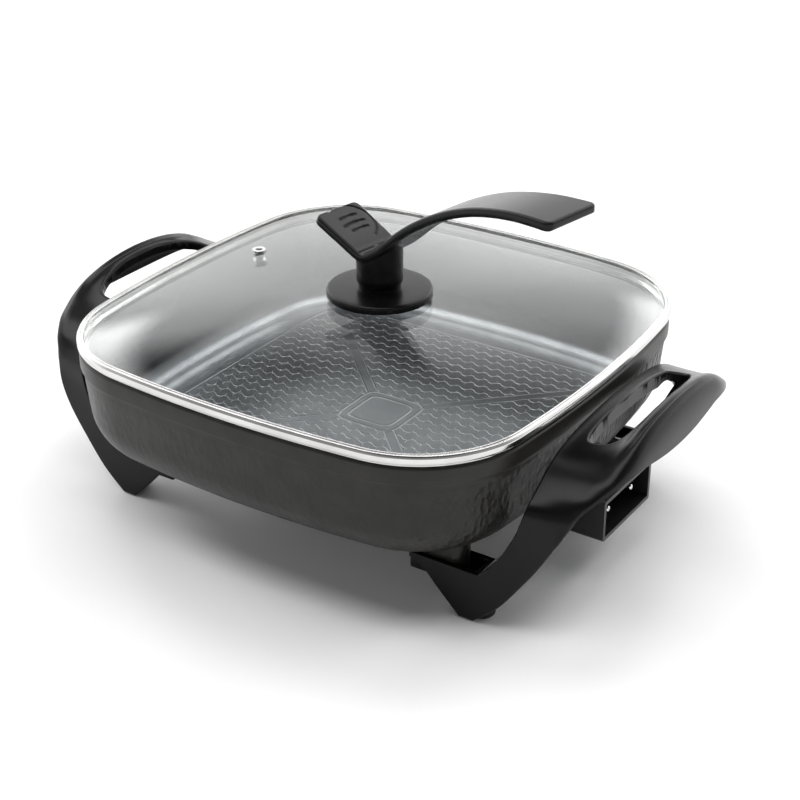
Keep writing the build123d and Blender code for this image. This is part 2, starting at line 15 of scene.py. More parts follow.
import bpy
import numpy as np
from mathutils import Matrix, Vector


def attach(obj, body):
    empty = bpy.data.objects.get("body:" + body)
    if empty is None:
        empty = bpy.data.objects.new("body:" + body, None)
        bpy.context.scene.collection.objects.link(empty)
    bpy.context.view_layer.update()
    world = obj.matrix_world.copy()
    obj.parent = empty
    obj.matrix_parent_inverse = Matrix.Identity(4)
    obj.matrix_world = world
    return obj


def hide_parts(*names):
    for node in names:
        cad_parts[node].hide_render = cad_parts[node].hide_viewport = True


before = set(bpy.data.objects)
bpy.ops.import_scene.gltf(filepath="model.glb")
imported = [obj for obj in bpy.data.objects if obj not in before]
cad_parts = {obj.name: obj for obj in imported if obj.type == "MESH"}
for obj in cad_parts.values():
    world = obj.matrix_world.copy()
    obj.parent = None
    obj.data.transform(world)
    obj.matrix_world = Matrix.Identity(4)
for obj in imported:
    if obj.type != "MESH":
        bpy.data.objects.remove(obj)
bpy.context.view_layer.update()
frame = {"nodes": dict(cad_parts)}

LOG = logging.getLogger("skillet")
MM = 0.001
Triple = tuple[float, float, float]
Socket = bpy.types.NodeSocket

# places of the feet and of the pan's lugs in the +X +Y quarter, and the four quarters
FOOT_PLACE = (131.0, 91.0)
LUG_PLACE = (107.5, 92.1)
QUARTERS = ((-1, -1), (-1, 1), (1, -1), (1, 1))


class Body(Enum):
    """The two bodies that move against each other."""

    SKILLET = "skillet"
    LID = "lid"


# ---------------------------------------------------------------- curves and surfaces
def smoothstep(value: np.ndarray, low: float, high: float) -> np.ndarray:
    """Smooth ramp t^2 (3 - 2t) with t = (value - low) / (high - low), held in 0 to 1.

    Args:
        value: Where to work it out.
        low: Value at which the ramp leaves 0.
        high: Value at which the ramp reaches 1.

    Returns:
        The ramp, of the same shape as value.
    """
    t = np.clip((value - low) / (high - low), 0.0, 1.0)
    return t * t * (3.0 - 2.0 * t)


def edge_drop(distance: np.ndarray, radius: np.ndarray | float) -> np.ndarray:
    """Drop of a rounded edge: r - sqrt(r^2 - (r - d)^2) at a distance d < r from the edge.

    Args:
        distance: Distance from the edge, at least 0.
        radius: Radius of the rounding.

    Returns:
        How far the surface lies under the flat face.
    """
    inside = np.clip(radius - distance, 0.0, radius)
    return radius - np.sqrt(np.maximum(np.square(radius) - np.square(inside), 0.0))


def monotone(knots: np.ndarray, values: np.ndarray, at: np.ndarray) -> np.ndarray:
    """Monotone cubic through values: Hermite pieces whose slopes are harmonic means.

    Args:
        knots: Rising parameters, of shape (n,).
        values: Values at the knots, of shape (n, k).
        at: Parameters to work out, of shape (m,).

    Returns:
        Array of shape (m, k) that never overshoots its knots.
    """
    step = np.diff(knots)[:, None]
    slope = np.diff(values, axis=0) / step
    before, after = slope[:-1], slope[1:]
    first, second = 2 * step[1:] + step[:-1], step[1:] + 2 * step[:-1]
    same = before * after > 0
    safe_before = np.where(same, before, 1.0)
    safe_after = np.where(same, after, 1.0)
    mean = (first + second) / (first / safe_before + second / safe_after)
    inner = np.where(same, mean, 0.0)
    tangent = np.concatenate([slope[:1], inner, slope[-1:]])
    k = np.clip(np.searchsorted(knots, at, side="right") - 1, 0, len(knots) - 2)
    h = step[k]
    s = (at[:, None] - knots[k][:, None]) / h
    near = (1 + 2 * s) * (1 - s) ** 2 * values[k] + s * (1 - s) ** 2 * h * tangent[k]
    far = s * s * (3 - 2 * s) * values[k + 1] + s * s * (s - 1) * h * tangent[k + 1]
    return near + far


def natural_spline(knots: np.ndarray, values: np.ndarray, at: np.ndarray) -> np.ndarray:
    """Natural cubic spline, smooth to the second derivative, through all the values.

    The second derivatives M solve h0 M0 + 2 (h0 + h1) M1 + h1 M2 = 6 (d1 - d0), with the
    slopes d of the chords, and M = 0 at both ends.

    Args:
        knots: Rising parameters, of shape (n,).
        values: Values at the knots, of shape (n, k).
        at: Parameters to work out, of shape (m,).

    Returns:
        Array of shape (m, k).
    """
    count = len(knots)
    h = np.diff(knots)
    slope = np.diff(values, axis=0) / h[:, None]
    system = np.eye(count)
    right = np.zeros_like(values)
    inner = np.arange(1, count - 1)
    system[inner, inner - 1] = h[:-1]
    system[inner, inner] = 2 * (h[:-1] + h[1:])
    system[inner, inner + 1] = h[1:]
    right[1:-1] = 6 * (slope[1:] - slope[:-1])
    bend = np.linalg.solve(system, right)
    k = np.clip(np.searchsorted(knots, at, side="right") - 1, 0, count - 2)
    left = (at - knots[k])[:, None]
    rest = (knots[k + 1] - at)[:, None]
    width = h[k][:, None]
    cubic = (bend[k] * rest**3 + bend[k + 1] * left**3) / (6 * width)
    linear = (values[k] / width - bend[k] * width / 6) * rest
    return cubic + linear + (values[k + 1] / width - bend[k + 1] * width / 6) * left


def lengths(points: np.ndarray) -> np.ndarray:
    """Length along a chain of points, from 0 at the first."""
    steps = np.linalg.norm(np.diff(points, axis=0), axis=1)
    return np.concatenate([[0], np.cumsum(steps)])


def rounded_path(corners: Sequence[Triple], steps: int) -> np.ndarray:
    """Closed path with rounded corners: each corner (x, y, r) becomes an arc of radius r.

    The arc is a quadratic blend between the points at r tan(turn / 2) from the corner,
    which is within a few hundredths of r of a circle.

    Args:
        corners: Corners in order, each with its radius. A radius of 0 stays sharp.
        steps: Points in each arc, less one.

    Returns:
        Points of shape (n, 2), without a repeated last point.
    """
    data = np.array(corners, float)
    here = data[:, :2]
    back = np.roll(here, 1, axis=0) - here
    ahead = np.roll(here, -1, axis=0) - here
    back_length = np.linalg.norm(back, axis=1, keepdims=True)
    ahead_length = np.linalg.norm(ahead, axis=1, keepdims=True)
    back, ahead = back / back_length, ahead / ahead_length
    inner = np.arccos(np.clip((back * ahead).sum(1), -1, 1))
    reach = data[:, 2] / np.maximum(np.tan(inner / 2), 1e-6)
    reach = np.minimum(reach, 0.48 * np.minimum(back_length, ahead_length)[:, 0])[:, None]
    start, end = here + back * reach, here + ahead * reach
    t = np.linspace(0, 1, steps + 1)[None, :, None]
    weight = np.sin(inner / 2)[:, None, None]
    near, far = (1 - t) ** 2, t**2
    middle = 2 * t * (1 - t) * weight
    arc = near * start[:, None] + middle * here[:, None] + far * end[:, None]
    arc = arc / (near + middle + far)
    path = arc.reshape(-1, 2)
    gap = np.linalg.norm(path - np.roll(path, 1, axis=0), axis=1)
    return path[gap > 1e-6]


def value_noise(points: np.ndarray, cell: float, seed: int) -> np.ndarray:
    """Smooth random height in -1 to 1: eight seeded corner values blended in each cell.

    Args:
        points: Places of shape (n, 3).
        cell: Size of a cell.
        seed: Seed of the corner values.

    Returns:
        Heights of shape (n,).
    """
    table = np.random.default_rng(seed).uniform(-1, 1, (64, 64, 64))
    scaled = points / cell
    low = np.floor(scaled).astype(int)
    part = scaled - low
    blend = part * part * (3 - 2 * part)
    total = np.zeros(len(points))
    for corner in range(8):
        offset = np.array([corner & 1, corner >> 1 & 1, corner >> 2 & 1])
        share = np.where(offset, blend, 1 - blend).prod(axis=1)
        index = (low + offset) % 64
        total += share * table[index[:, 0], index[:, 1], index[:, 2]]
    return total


# ---------------------------------------------------------------- meshes
@dataclass
class Patch:
    """Points in millimetres and the faces between them."""

    points: np.ndarray
    quads: np.ndarray
    tris: np.ndarray = field(default_factory=lambda: np.zeros((0, 3), int))
    caps: tuple[np.ndarray, ...] = ()

    def volume(self) -> float:
        """Signed volume: the sum of a . (b x c) / 6 over the triangles, positive when outward."""
        fans = [np.stack([np.full(len(c) - 2, c[0]), c[1:-1], c[2:]], 1) for c in self.caps]
        tris = np.concatenate([self.quads[:, :3], self.quads[:, [0, 2, 3]], self.tris, *fans])
        a, b, c = (self.points[tris[:, i]] for i in range(3))
        return float((a * np.cross(b, c)).sum() / 6)

    def outward(self) -> "Patch":
        """The same closed skin with its faces outwards."""
        if self.volume() >= 0:
            return self
        caps = tuple(cap[::-1] for cap in self.caps)
        return Patch(self.points, self.quads[:, ::-1], self.tris[:, ::-1], caps)

    def moved(self, offset: Triple) -> "Patch":
        """A copy shifted by an offset in millimetres."""
        return replace(self, points=self.points + np.array(offset, float))

    def scaled(self, factors: Triple) -> "Patch":
        """A copy with its coordinates multiplied, faces kept outwards."""
        return replace(self, points=self.points * np.array(factors, float)).outward()

    def turned(self, degrees: float) -> "Patch":
        """A copy turned about the Z axis."""
        c, s = math.cos(math.radians(degrees)), math.sin(math.radians(degrees))
        return replace(self, points=self.points @ np.array([[c, s, 0], [-s, c, 0], [0, 0, 1]]))


def joined(patches: Sequence[Patch]) -> Patch:
    """Several closed skins as one set of points and faces, unmerged."""
    starts = np.cumsum([0] + [len(p.points) for p in patches[:-1]])
    return Patch(
        np.concatenate([p.points for p in patches]),
        np.concatenate([p.quads + s for p, s in zip(patches, starts)]),
        np.concatenate([p.tris + s for p, s in zip(patches, starts)]),
        tuple(cap + s for p, s in zip(patches, starts) for cap in p.caps),
    )


def skin(rings: np.ndarray, ring_loop: bool = False) -> Patch:
    """Closed skin over a stack of rings: ring i joins ring i + 1, point j joins point j + 1.

    Args:
        rings: Points of shape (rings, around, 3), each ring closed on itself.
        ring_loop: True where the last ring joins the first, as on a hoop. Otherwise a fan
            of triangles to the middle of the end rings closes both ends.

    Returns:
        The patch with outward faces.
    """
    count, around = rings.shape[:2]
    index = np.arange(count * around).reshape(count, around)
    if ring_loop:
        index = np.concatenate([index, index[:1]])
    ahead = np.roll(index, -1, axis=1)
    quads = np.stack([index[:-1], ahead[:-1], ahead[1:], index[1:]], -1).reshape(-1, 4)
    points = rings.reshape(-1, 3)
    tris = np.zeros((0, 3), int)
    if not ring_loop:
        first, last = len(points), len(points) + 1
        points = np.concatenate([points, rings[:1].mean(axis=1), rings[-1:].mean(axis=1)])
        low = np.stack([np.full(around, first), ahead[0], index[0]], 1)
        high = np.stack([np.full(around, last), index[-1], ahead[-1]], 1)
        tris = np.concatenate([low, high])
    return Patch(points, quads, tris).outward()


def turned_rings(profile: np.ndarray, around: int) -> np.ndarray:
    """Rings of a profile of (radius, height) about the Z axis: (r cos a, r sin a, z).

    Args:
        profile: Path of shape (n, 2).
        around: Steps in a full turn.

    Returns:
        Points of shape (n, around, 3).
    """
    angle = np.arange(around) * 2 * np.pi / around
    radius, height = profile[:, :1], profile[:, 1:]
    x, y = radius * np.cos(angle), radius * np.sin(angle)
    return np.stack([x, y, np.broadcast_to(height, x.shape)], -1)


def lathe(profile: np.ndarray, around: int) -> Patch:
    """Closed body turned from an open profile whose ends are closed by fans on the axis."""
    return skin(turned_rings(profile, around))


def smooth_object(name: str, patch: Patch, sharp: float) -> bpy.types.Object:
    """Mesh object in metres with smooth faces and sharp edges past an angle.

    Args:
        name: Name of the piece.
        patch: Its points in millimetres and its faces.
        sharp: Edges that turn by more than this many degrees are shaded sharp.

    Returns:
        The linked object at the origin.
    """
    mesh = bpy.data.meshes.new(name)
    sizes = [4] * len(patch.quads) + [3] * len(patch.tris) + [len(cap) for cap in patch.caps]
    loops = np.concatenate([patch.quads.ravel(), patch.tris.ravel(), *patch.caps]).astype(np.int32)
    starts = np.concatenate([[0], np.cumsum(sizes)[:-1]]).astype(np.int32)
    mesh.vertices.add(len(patch.points))
    mesh.vertices.foreach_set("co", (patch.points * MM).astype(np.float32).ravel())
    mesh.loops.add(len(loops))
    mesh.loops.foreach_set("vertex_index", loops)
    mesh.polygons.add(len(sizes))
    mesh.polygons.foreach_set("loop_start", starts)
    mesh.update(calc_edges=True)
    mesh.validate()
    mesh.shade_smooth()
    mesh.set_sharp_from_angle(angle=math.radians(sharp))
    piece = bpy.data.objects.new(name, mesh)
    bpy.context.scene.collection.objects.link(piece)
    return piece


def dress(piece: bpy.types.Object, *materials: bpy.types.Material) -> None:
    """Give a piece its materials in slot order."""
    piece.data.materials.clear()
    for material in materials:
        piece.data.materials.append(material)


def place(piece: bpy.types.Object, body: Body, node: str) -> None:
    """Put a finished piece on its body and hide the CAD node it stands for.

    Args:
        piece: The object, in place and dressed.
        body: The body that it moves with.
        node: CAD node that it replaces.
    """
    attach(piece, body.value)
    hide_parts(node)
    LOG.info("%s: %d faces on %s", piece.name, len(piece.data.polygons), body.value)


def add_pieces(
    body: Body, slot: str, material: bpy.types.Material, *pieces: tuple[str, Patch, str, float]
) -> None:
    """Make several pieces of one finish on one body.

    Args:
        body: The body that they move with.
        slot: The record's material slot. Not used.
        material: Their material.
        *pieces: Name, patch, CAD node and angle of sharp edges in degrees, for each.
    """
    for name, patch, node, sharp in pieces:
        piece = smooth_object(name, patch, sharp)
        dress(piece, material)
        place(piece, body, node)


# ---------------------------------------------------------------- materials
def maths(operation: str, swapped: bool = False) -> Callable[..., "Number"]:
    """Method of a number that adds one Math node.

    Args:
        operation: Blender's name of the operation.
        swapped: True where the number itself is the second operand.

    Returns:
        A method that takes the other operand, or none where there is only one.
    """

    def method(self: "Number", *others: "Number | float") -> "Number":
        """The number put through the node."""
        operands = (*others, self) if swapped else (self, *others)
        return self.nodes.math(operation, *operands)

    return method


@dataclass(frozen=True)
class Number:
    """A number that varies over a surface, written as plain maths.

    most is the larger of two, fraction the part after the whole, sine takes radians, and
    the remainder stays positive.
    """

    nodes: "Nodes"
    socket: Socket

    __add__ = __radd__ = maths("ADD")
    __sub__ = maths("SUBTRACT")
    __rsub__ = maths("SUBTRACT", swapped=True)
    __mul__ = __rmul__ = maths("MULTIPLY")
    __truediv__ = maths("DIVIDE")
    __pow__ = maths("POWER")
    __mod__ = maths("FLOORED_MODULO")
    __abs__ = maths("ABSOLUTE")
    most = maths("MAXIMUM")
    floor = maths("FLOOR")
    fraction = maths("FRACT")
    sine = maths("SINE")

    def ramp(self, low: float, high: float, start: float = 0.0, end: float = 1.0) -> "Number":
        """Smooth ramp from start at low to end at high."""
        settings = {"interpolation_type": "SMOOTHSTEP", "data_type": "FLOAT"}
        inputs = {0: self, 1: low, 2: high, 3: start, 4: end}
        return Number(self.nodes, self.nodes.add("ShaderNodeMapRange", settings, inputs).outputs[0])


class Nodes:
    """Node tree with one way to add any node."""

    def __init__(self, tree: bpy.types.NodeTree) -> None:
        """Start on an emptied node tree."""
        self.tree = tree
        tree.nodes.clear()

    def add(self, kind: str, settings: dict, inputs: dict) -> bpy.types.Node:
        """Add a node.

        Args:
            kind: Blender's type name of the node.
            settings: Attributes, set before the sockets.
            inputs: Socket names or numbers with a value, a socket or a Number each.

        Returns:
            The node.
        """
        node = self.tree.nodes.new(kind)
        for key, value in settings.items():
            setattr(node, key, value)
        for key, value in inputs.items():
            socket = value.socket if isinstance(value, Number) else value
            if isinstance(socket, Socket):
                self.tree.links.new(socket, node.inputs[key])
            else:
                node.inputs[key].default_value = socket
        return node

    def math(self, operation: str, *values: "Number | float") -> Number:
        """One Math node."""
        node = self.add("ShaderNodeMath", {"operation": operation}, dict(enumerate(values)))
        return Number(self, node.outputs[0])

    def parts(self, kind: str) -> tuple[Number, Number, Number]:
        """The x, y and z of one kind of texture coordinate."""
        source = self.add("ShaderNodeTexCoord", {}, {}).outputs[kind]
        split = self.add("ShaderNodeSeparateXYZ", {}, {0: source}).outputs
        return tuple(Number(self, part) for part in split)

    def place(self) -> tuple[Number, Number, Number]:
        """Object coordinates in millimetres as three numbers."""
        return tuple(part * 1000.0 for part in self.parts("Object"))

    def texture(self, kind: str, size: float, factors: Triple, inputs: dict) -> bpy.types.Node:
        """Texture on the object coordinates.

        Args:
            kind: Blender's type name of the texture.
            size: Size of a feature in millimetres.
            factors: Stretch of the coordinates per axis.
            inputs: Further sockets of the texture.

        Returns:
            The texture's node.
        """
        source = self.add("ShaderNodeTexCoord", {}, {}).outputs["Object"]
        mapped = self.add("ShaderNodeMapping", {}, {"Vector": source, "Scale": factors}).outputs[0]
        return self.add(kind, {}, {"Vector": mapped, "Scale": 1000.0 / size, **inputs})

    def noise(self, size: float, detail: float, factors: Triple = (1, 1, 1)) -> Number:
        """Smooth noise about 0.5, with a number of finer layers as its detail."""
        node = self.texture("ShaderNodeTexNoise", size, factors, {"Detail": detail})
        return Number(self, node.outputs[0])

    def cells(self, size: float, factors: Triple) -> Number:
        """Distance to the nearest of scattered points, for dimples."""
        node = self.texture("ShaderNodeTexVoronoi", size, factors, {})
        return Number(self, node.outputs["Distance"])

    def blend(self, factor: Number, low: Triple | Socket, high: Triple) -> Socket:
        """Colour between two, by a factor. The low one may come from a socket."""
        settings = {"data_type": "RGBA", "clamp_factor": True}
        start = low if isinstance(low, Socket) else (*low, 1.0)
        inputs = {0: factor, 6: start, 7: (*high, 1.0)}
        return self.add("ShaderNodeMix", settings, inputs).outputs[2]

    def bump(self, height: Number, distance: float) -> Socket:
        """Normal bent by a height that counts as a distance in millimetres."""
        inputs = {"Height": height, "Distance": distance * MM, "Strength": 1.0}
        return self.add("ShaderNodeBump", {}, inputs).outputs[0]

    def finish(self, kind: str, inputs: dict) -> None:
        """Add the last shader and join it to the material's output."""
        shader = self.add(kind, {}, inputs).outputs[0]
        self.add("ShaderNodeOutputMaterial", {}, {0: shader})


def new_material(name: str) -> tuple[bpy.types.Material, Nodes]:
    """Empty material and its nodes."""
    material = bpy.data.materials.new(name)
    material.use_nodes = True
    return material, Nodes(material.node_tree)


@dataclass(frozen=True)
class Finish:
    """Moulded, cast or metal surface with mottled colour, varied gloss and a fine grain."""

    name: str
    dark: Triple
    light: Triple
    roughness: float
    metallic: float = 0.0
    gloss_spread: float = 0.05
    mottle: float = 18.0
    grain: float = 0.6
    grain_depth: float = 0.01
    grain_stretch: Triple = (1.0, 1.0, 1.0)
    specular: float = 0.5

    def height(self, nodes: Nodes) -> Number:
        """Relief of the surface as a height of about 0 to 1, times grain_depth."""
        return nodes.noise(self.grain, 2.0, self.grain_stretch)

    def colour(self, nodes: Nodes) -> Socket:
        """Colour between the dark and the light one by a soft noise."""
        return nodes.blend(nodes.noise(self.mottle, 3.0).ramp(0.3, 0.7), self.dark, self.light)

    def mean_gloss(self, nodes: Nodes) -> Number | float:
        """Roughness that the surface's gloss wanders about."""
        return self.roughness

    def material(self) -> bpy.types.Material:
        """Build the material.

        Returns:
            A Principled material of this finish.
        """
        material, nodes = new_material(self.name)
        swing = nodes.noise(self.mottle * 0.4, 3.0) - 0.5
        inputs = {
            "Base Color": self.colour(nodes),
            "Roughness": swing * (2 * self.gloss_spread) + self.mean_gloss(nodes),
            "Metallic": self.metallic,
            "Specular IOR Level": self.specular,
            "Normal": nodes.bump(self.height(nodes), self.grain_depth),
        }
        nodes.finish("ShaderNodeBsdfPrincipled", inputs)
        return material


@dataclass(frozen=True)
class HammeredFinish(Finish):
    """Outside of the cast pan: hammered dimples on the sides and corners, smooth at the rim."""

    dimple: float = 4.2
    rim_from: float = 101.0
    side_from: float = 96.0
    side_full: float = 146.0
    faint: float = 0.16

    def height(self, nodes: Nodes) -> Number:
        """Dimples with torn ridges, full towards the handles and faint in between.

        The height is 0.9 (distance to the nearest point) + 0.8 (noise), times a mask that
        grows with |x| and fades at the rim.
        """
        x, _, z = nodes.place()
        side = abs(x).ramp(self.side_from, self.side_full, self.faint, 1.0)
        below = z.ramp(self.rim_from - 3.0, self.rim_from + 1.5, 1.0, 0.04)
        dimples = nodes.cells(self.dimple, (1.0, 1.0, 0.55)) * 0.9
        torn = nodes.noise(self.dimple * 0.55, 3.0, (1.0, 1.0, 0.5)) * 0.8
        return (dimples + torn) * side * below


@dataclass(frozen=True)
class FloorFinish(Finish):
    """Inside of the pan: satin coating with an embossed wave-and-brick floor.

    Sizes are in millimetres. The floor carries staggered S-shaped ribs, a medallion of two
    rounded squares in the middle, plain bands along the diagonals and a thin border.
    """

    floor_z: float = 53.0
    pitch: float = 10.3
    row: float = 8.7
    inner_square: float = 16.0
    outer_square: float = 21.5
    band: float = 3.2
    border: float = 121.0
    # crest: painted highlight, a light colour on the relief's crests that stands in for their
    # glints
    crest: Triple = (0.80, 0.81, 0.82)
    wall: Triple = (0.125, 0.128, 0.136)
    wall_roughness: float = 0.20

    def _ribs(self, x: Number, y: Number) -> Number:
        """S-shaped dashes along the rows and faint wavy joints across them.

        With u and v the places in a brick of pitch by row, a dash is the curve
        v = 0.5 + 0.15 sin(2 pi (u - 0.5)) that thins out at its ends, and a joint the
        curve u = 0.08 sin(2 pi v).
        """
        turn = 2 * math.pi
        shift = (y / self.row).floor() % 2.0 * (self.pitch / 2)
        u = ((x + shift) / self.pitch).fraction()
        v = (y / self.row).fraction()
        curve = 0.5 - ((u - 0.5) * turn).sine() * 0.15
        reach = abs(u - 0.5).ramp(0.30, 0.47, 1.0, 0.12)
        rib = (abs(v - curve) * self.row).ramp(0.1, 0.65, 1.0, 0.0) * reach
        across = (u + (v * turn).sine() * 0.08).fraction()
        joint = ((0.5 - abs(across - 0.5)) * self.pitch).ramp(0.1, 0.55, 0.5, 0.0)
        return rib.most(joint)

    def _relief(self, nodes: Nodes) -> Number:
        """Relief of the floor from 0 on the ground to 1 on the ribs, and 0 on the walls.

        Rounded squares are the curves (|x|^p + |y|^p)^(1/p) of one value: with p = 6 in the
        medallion and p = 9 at the border.
        """
        x, y, z = nodes.place()
        wide, deep = abs(x), abs(y)
        square, outer = ((wide**p + deep**p) ** (1 / p) for p in (6.0, 9.0))
        diagonal = abs(wide - deep) / math.sqrt(2)
        within = outer.ramp(self.border - 3.0, self.border - 1.8, 1.0, 0.0)
        free = square.ramp(self.outer_square, self.outer_square + 1.2)
        free = free * diagonal.ramp(self.band, self.band + 0.8) * within
        beside = abs(diagonal - self.band).ramp(0.2, 0.7, 0.4, 0.0)
        beside = beside * square.ramp(self.outer_square, self.outer_square + 1.0) * within
        relief = (self._ribs(x, y) * free).most(beside)
        # thin lines: distance, half widths of the flat and of the foot, height
        for distance, flat, foot, high in (
            (square - self.inner_square, 0.3, 1.0, 0.5),
            (square - self.outer_square, 0.3, 1.0, 0.45),
            (outer - self.border, 0.2, 0.8, 0.6),
        ):
            relief = relief.most(abs(distance).ramp(flat, foot, high, 0.0))
        return relief * z.ramp(self.floor_z, self.floor_z + 0.6, 1.0, 0.0)

    def height(self, nodes: Nodes) -> Number:
        """The relief and a fine grain everywhere."""
        return self._relief(nodes) + nodes.noise(self.grain, 1.0) * 0.0015

    def _up_the_wall(self, nodes: Nodes) -> Number:
        """Ramp from 0 on the floor to 1 on the wall."""
        return nodes.place()[2].ramp(self.floor_z + 1.0, self.floor_z + 14.0)

    def colour(self, nodes: Nodes) -> Socket:
        """Soft mottling of the ground, a light painted highlight on the crests of the ribs and
        lines, and a dark wall.
        """
        ribs = self._relief(nodes).ramp(0.25, 0.95)
        # painted highlight: the raised ribs and lines are coloured light where they would catch the
        # light
        floor = nodes.blend(ribs, super().colour(nodes), self.crest)
        return nodes.blend(self._up_the_wall(nodes), floor, self.wall)

    def mean_gloss(self, nodes: Nodes) -> Number:
        """Roughness of the floor, falling to that of the wall."""
        return self._up_the_wall(nodes) * (self.wall_roughness - self.roughness) + self.roughness


@dataclass(frozen=True)
class GlassFinish:
    """Clear tempered glass: see-through, with a mirror part that grows at flat angles."""

    name: str
    tint: Triple
    straight: float = 0.045
    haze: float = 0.02

    def material(self) -> bpy.types.Material:
        """Mix of a see-through and a mirror shader by straight + (1 - straight) facing^5.

        Returns:
            The glass material.
        """
        material, nodes = new_material(self.name)
        weight = nodes.add("ShaderNodeLayerWeight", {}, {"Blend": 0.5})
        facing = Number(nodes, weight.outputs["Facing"])
        mirror = facing**5.0 * (1.0 - self.straight) + self.straight
        clear = nodes.add("ShaderNodeBsdfTransparent", {}, {"Color": (*self.tint, 1.0)})
        inputs = {"Color": (1, 1, 1, 1), "Roughness": self.haze}
        shine = nodes.add("ShaderNodeBsdfGlossy", {}, inputs)
        nodes.finish("ShaderNodeMixShader", {0: mirror, 1: clear.outputs[0], 2: shine.outputs[0]})
        return material


PAN_OUTSIDE = HammeredFinish(
    "pan_hammered_coating", (0.0105, 0.0098, 0.0090), (0.0165, 0.0153, 0.0140), 0.36,
    gloss_spread=0.05, mottle=14.0, grain_depth=0.95, specular=0.32,
)
PAN_INSIDE = FloorFinish(
    "pan_embossed_coating", (0.27, 0.275, 0.29), (0.33, 0.335, 0.35), 0.29,
    metallic=0.9, gloss_spread=0.008, mottle=26.0, grain=0.5, grain_depth=0.42,
)
BAKELITE = Finish(
    "phenolic_satin_black", (0.0030, 0.0030, 0.0030), (0.0046, 0.0045, 0.0044), 0.25,
    gloss_spread=0.03, mottle=9.0, grain=0.5, grain_depth=0.005, specular=0.20,
)
SHROUD = Finish(
    "socket_moulded_black", (0.0075, 0.0075, 0.0080), (0.0110, 0.0110, 0.0112), 0.38,
    mottle=6.0, grain=0.35, grain_depth=0.02,
)
RUBBER = Finish(
    "rubber_matt_black", (0.012, 0.012, 0.012), (0.020, 0.020, 0.020), 0.75,
    mottle=5.0, grain=0.4, grain_depth=0.05, specular=0.35,
)
STEEL = Finish(
    "band_polished_steel", (0.60, 0.595, 0.59), (0.70, 0.695, 0.69), 0.13,
    metallic=1.0, gloss_spread=0.03, mottle=30.0, grain=0.25, grain_depth=0.003,
    grain_stretch=(1.0, 1.0, 6.0),
)
SCREW = Finish(
    "screw_zinc_steel", (0.55, 0.55, 0.53), (0.68, 0.68, 0.66), 0.30,
    metallic=1.0, mottle=4.0, grain=0.3, grain_depth=0.01,
)
PIN = Finish(
    "terminal_nickel", (0.70, 0.70, 0.69), (0.80, 0.80, 0.79), 0.18,
    metallic=1.0, mottle=4.0, grain=0.3, grain_depth=0.004,
)
ELEMENT = Finish(
    "element_heated_steel", (0.16, 0.14, 0.12), (0.28, 0.24, 0.20), 0.45,
    metallic=0.9, mottle=8.0, grain=0.5, grain_depth=0.03,
)
CERAMIC = Finish(
    "insulator_white_ceramic", (0.62, 0.60, 0.56), (0.74, 0.72, 0.68), 0.35,
    mottle=3.0, grain=0.4, grain_depth=0.02,
)
BRASS = Finish(
    "insert_brass", (0.60, 0.43, 0.17), (0.72, 0.53, 0.23), 0.28,
    metallic=1.0, mottle=4.0, grain=0.3, grain_depth=0.01,
)
SILICONE = Finish(
    "gasket_grey_silicone", (0.20, 0.20, 0.20), (0.27, 0.27, 0.27), 0.60,
    mottle=5.0, grain=0.5, grain_depth=0.02,
)
GLASS = GlassFinish("lid_clear_glass", (0.95, 0.962, 0.958))


# ---------------------------------------------------------------- plan outline
@dataclass(frozen=True)
class Outline:
    """Bulged square in plan: four wide side arcs joined by four corner arcs."""

    lid_half: float = 157.6
    lid_corner: float = 74.4
    bulge: float = 0.1
    side_steps: int = 110
    corner_steps: int = 80

    def rings(
        self, half: Sequence[float], inset: Sequence[float], height: Sequence[float]
    ) -> np.ndarray:
        """Closed rings of the outline.

        A side is the arc of radius R = (m^2 + s^2) / 2s through (half, 0), with m the
        place where the unrounded sides meet and s = half - m. A corner is the arc of
        radius r about (c, c) that touches both sides. Points then go inwards along the
        normals by the inset.

        Args:
            half: Half size of each ring.
            inset: Distance inwards of each ring.
            height: Height of each ring.

        Returns:
            Points of shape (n, around, 3).
        """
        half, inset, height = (np.asarray(v, float)[:, None] for v in (half, inset, height))
        share = (math.sqrt(1 + 4 * self.bulge) - 1) / (2 * self.bulge)
        meet = half * share
        sag = half - meet
        radius = (meet**2 + sag**2) / (2 * sag)
        corner = self.lid_corner - (self.lid_half - half)
        back = radius - half
        centre = (-back + np.sqrt(2 * (radius - corner) ** 2 - back**2)) / 2
        limit = np.arctan2(centre, centre + back)
        side = limit * (np.arange(self.side_steps) / self.side_steps * 2 - 1)
        bend = limit + (np.pi / 2 - 2 * limit) * (np.arange(self.corner_steps) / self.corner_steps)
        side_x, side_y = radius * np.cos(side) - back, radius * np.sin(side)
        bend_x, bend_y = centre + corner * np.cos(bend), centre + corner * np.sin(bend)
        angle = np.concatenate([side, bend], 1)
        x = np.concatenate([side_x, bend_x], 1) - inset * np.cos(angle)
        y = np.concatenate([side_y, bend_y], 1) - inset * np.sin(angle)
        around_x = np.concatenate([x, -y, -x, y], 1)
        around_y = np.concatenate([y, x, -y, -x], 1)
        return np.stack([around_x, around_y, np.broadcast_to(height, around_x.shape)], -1)


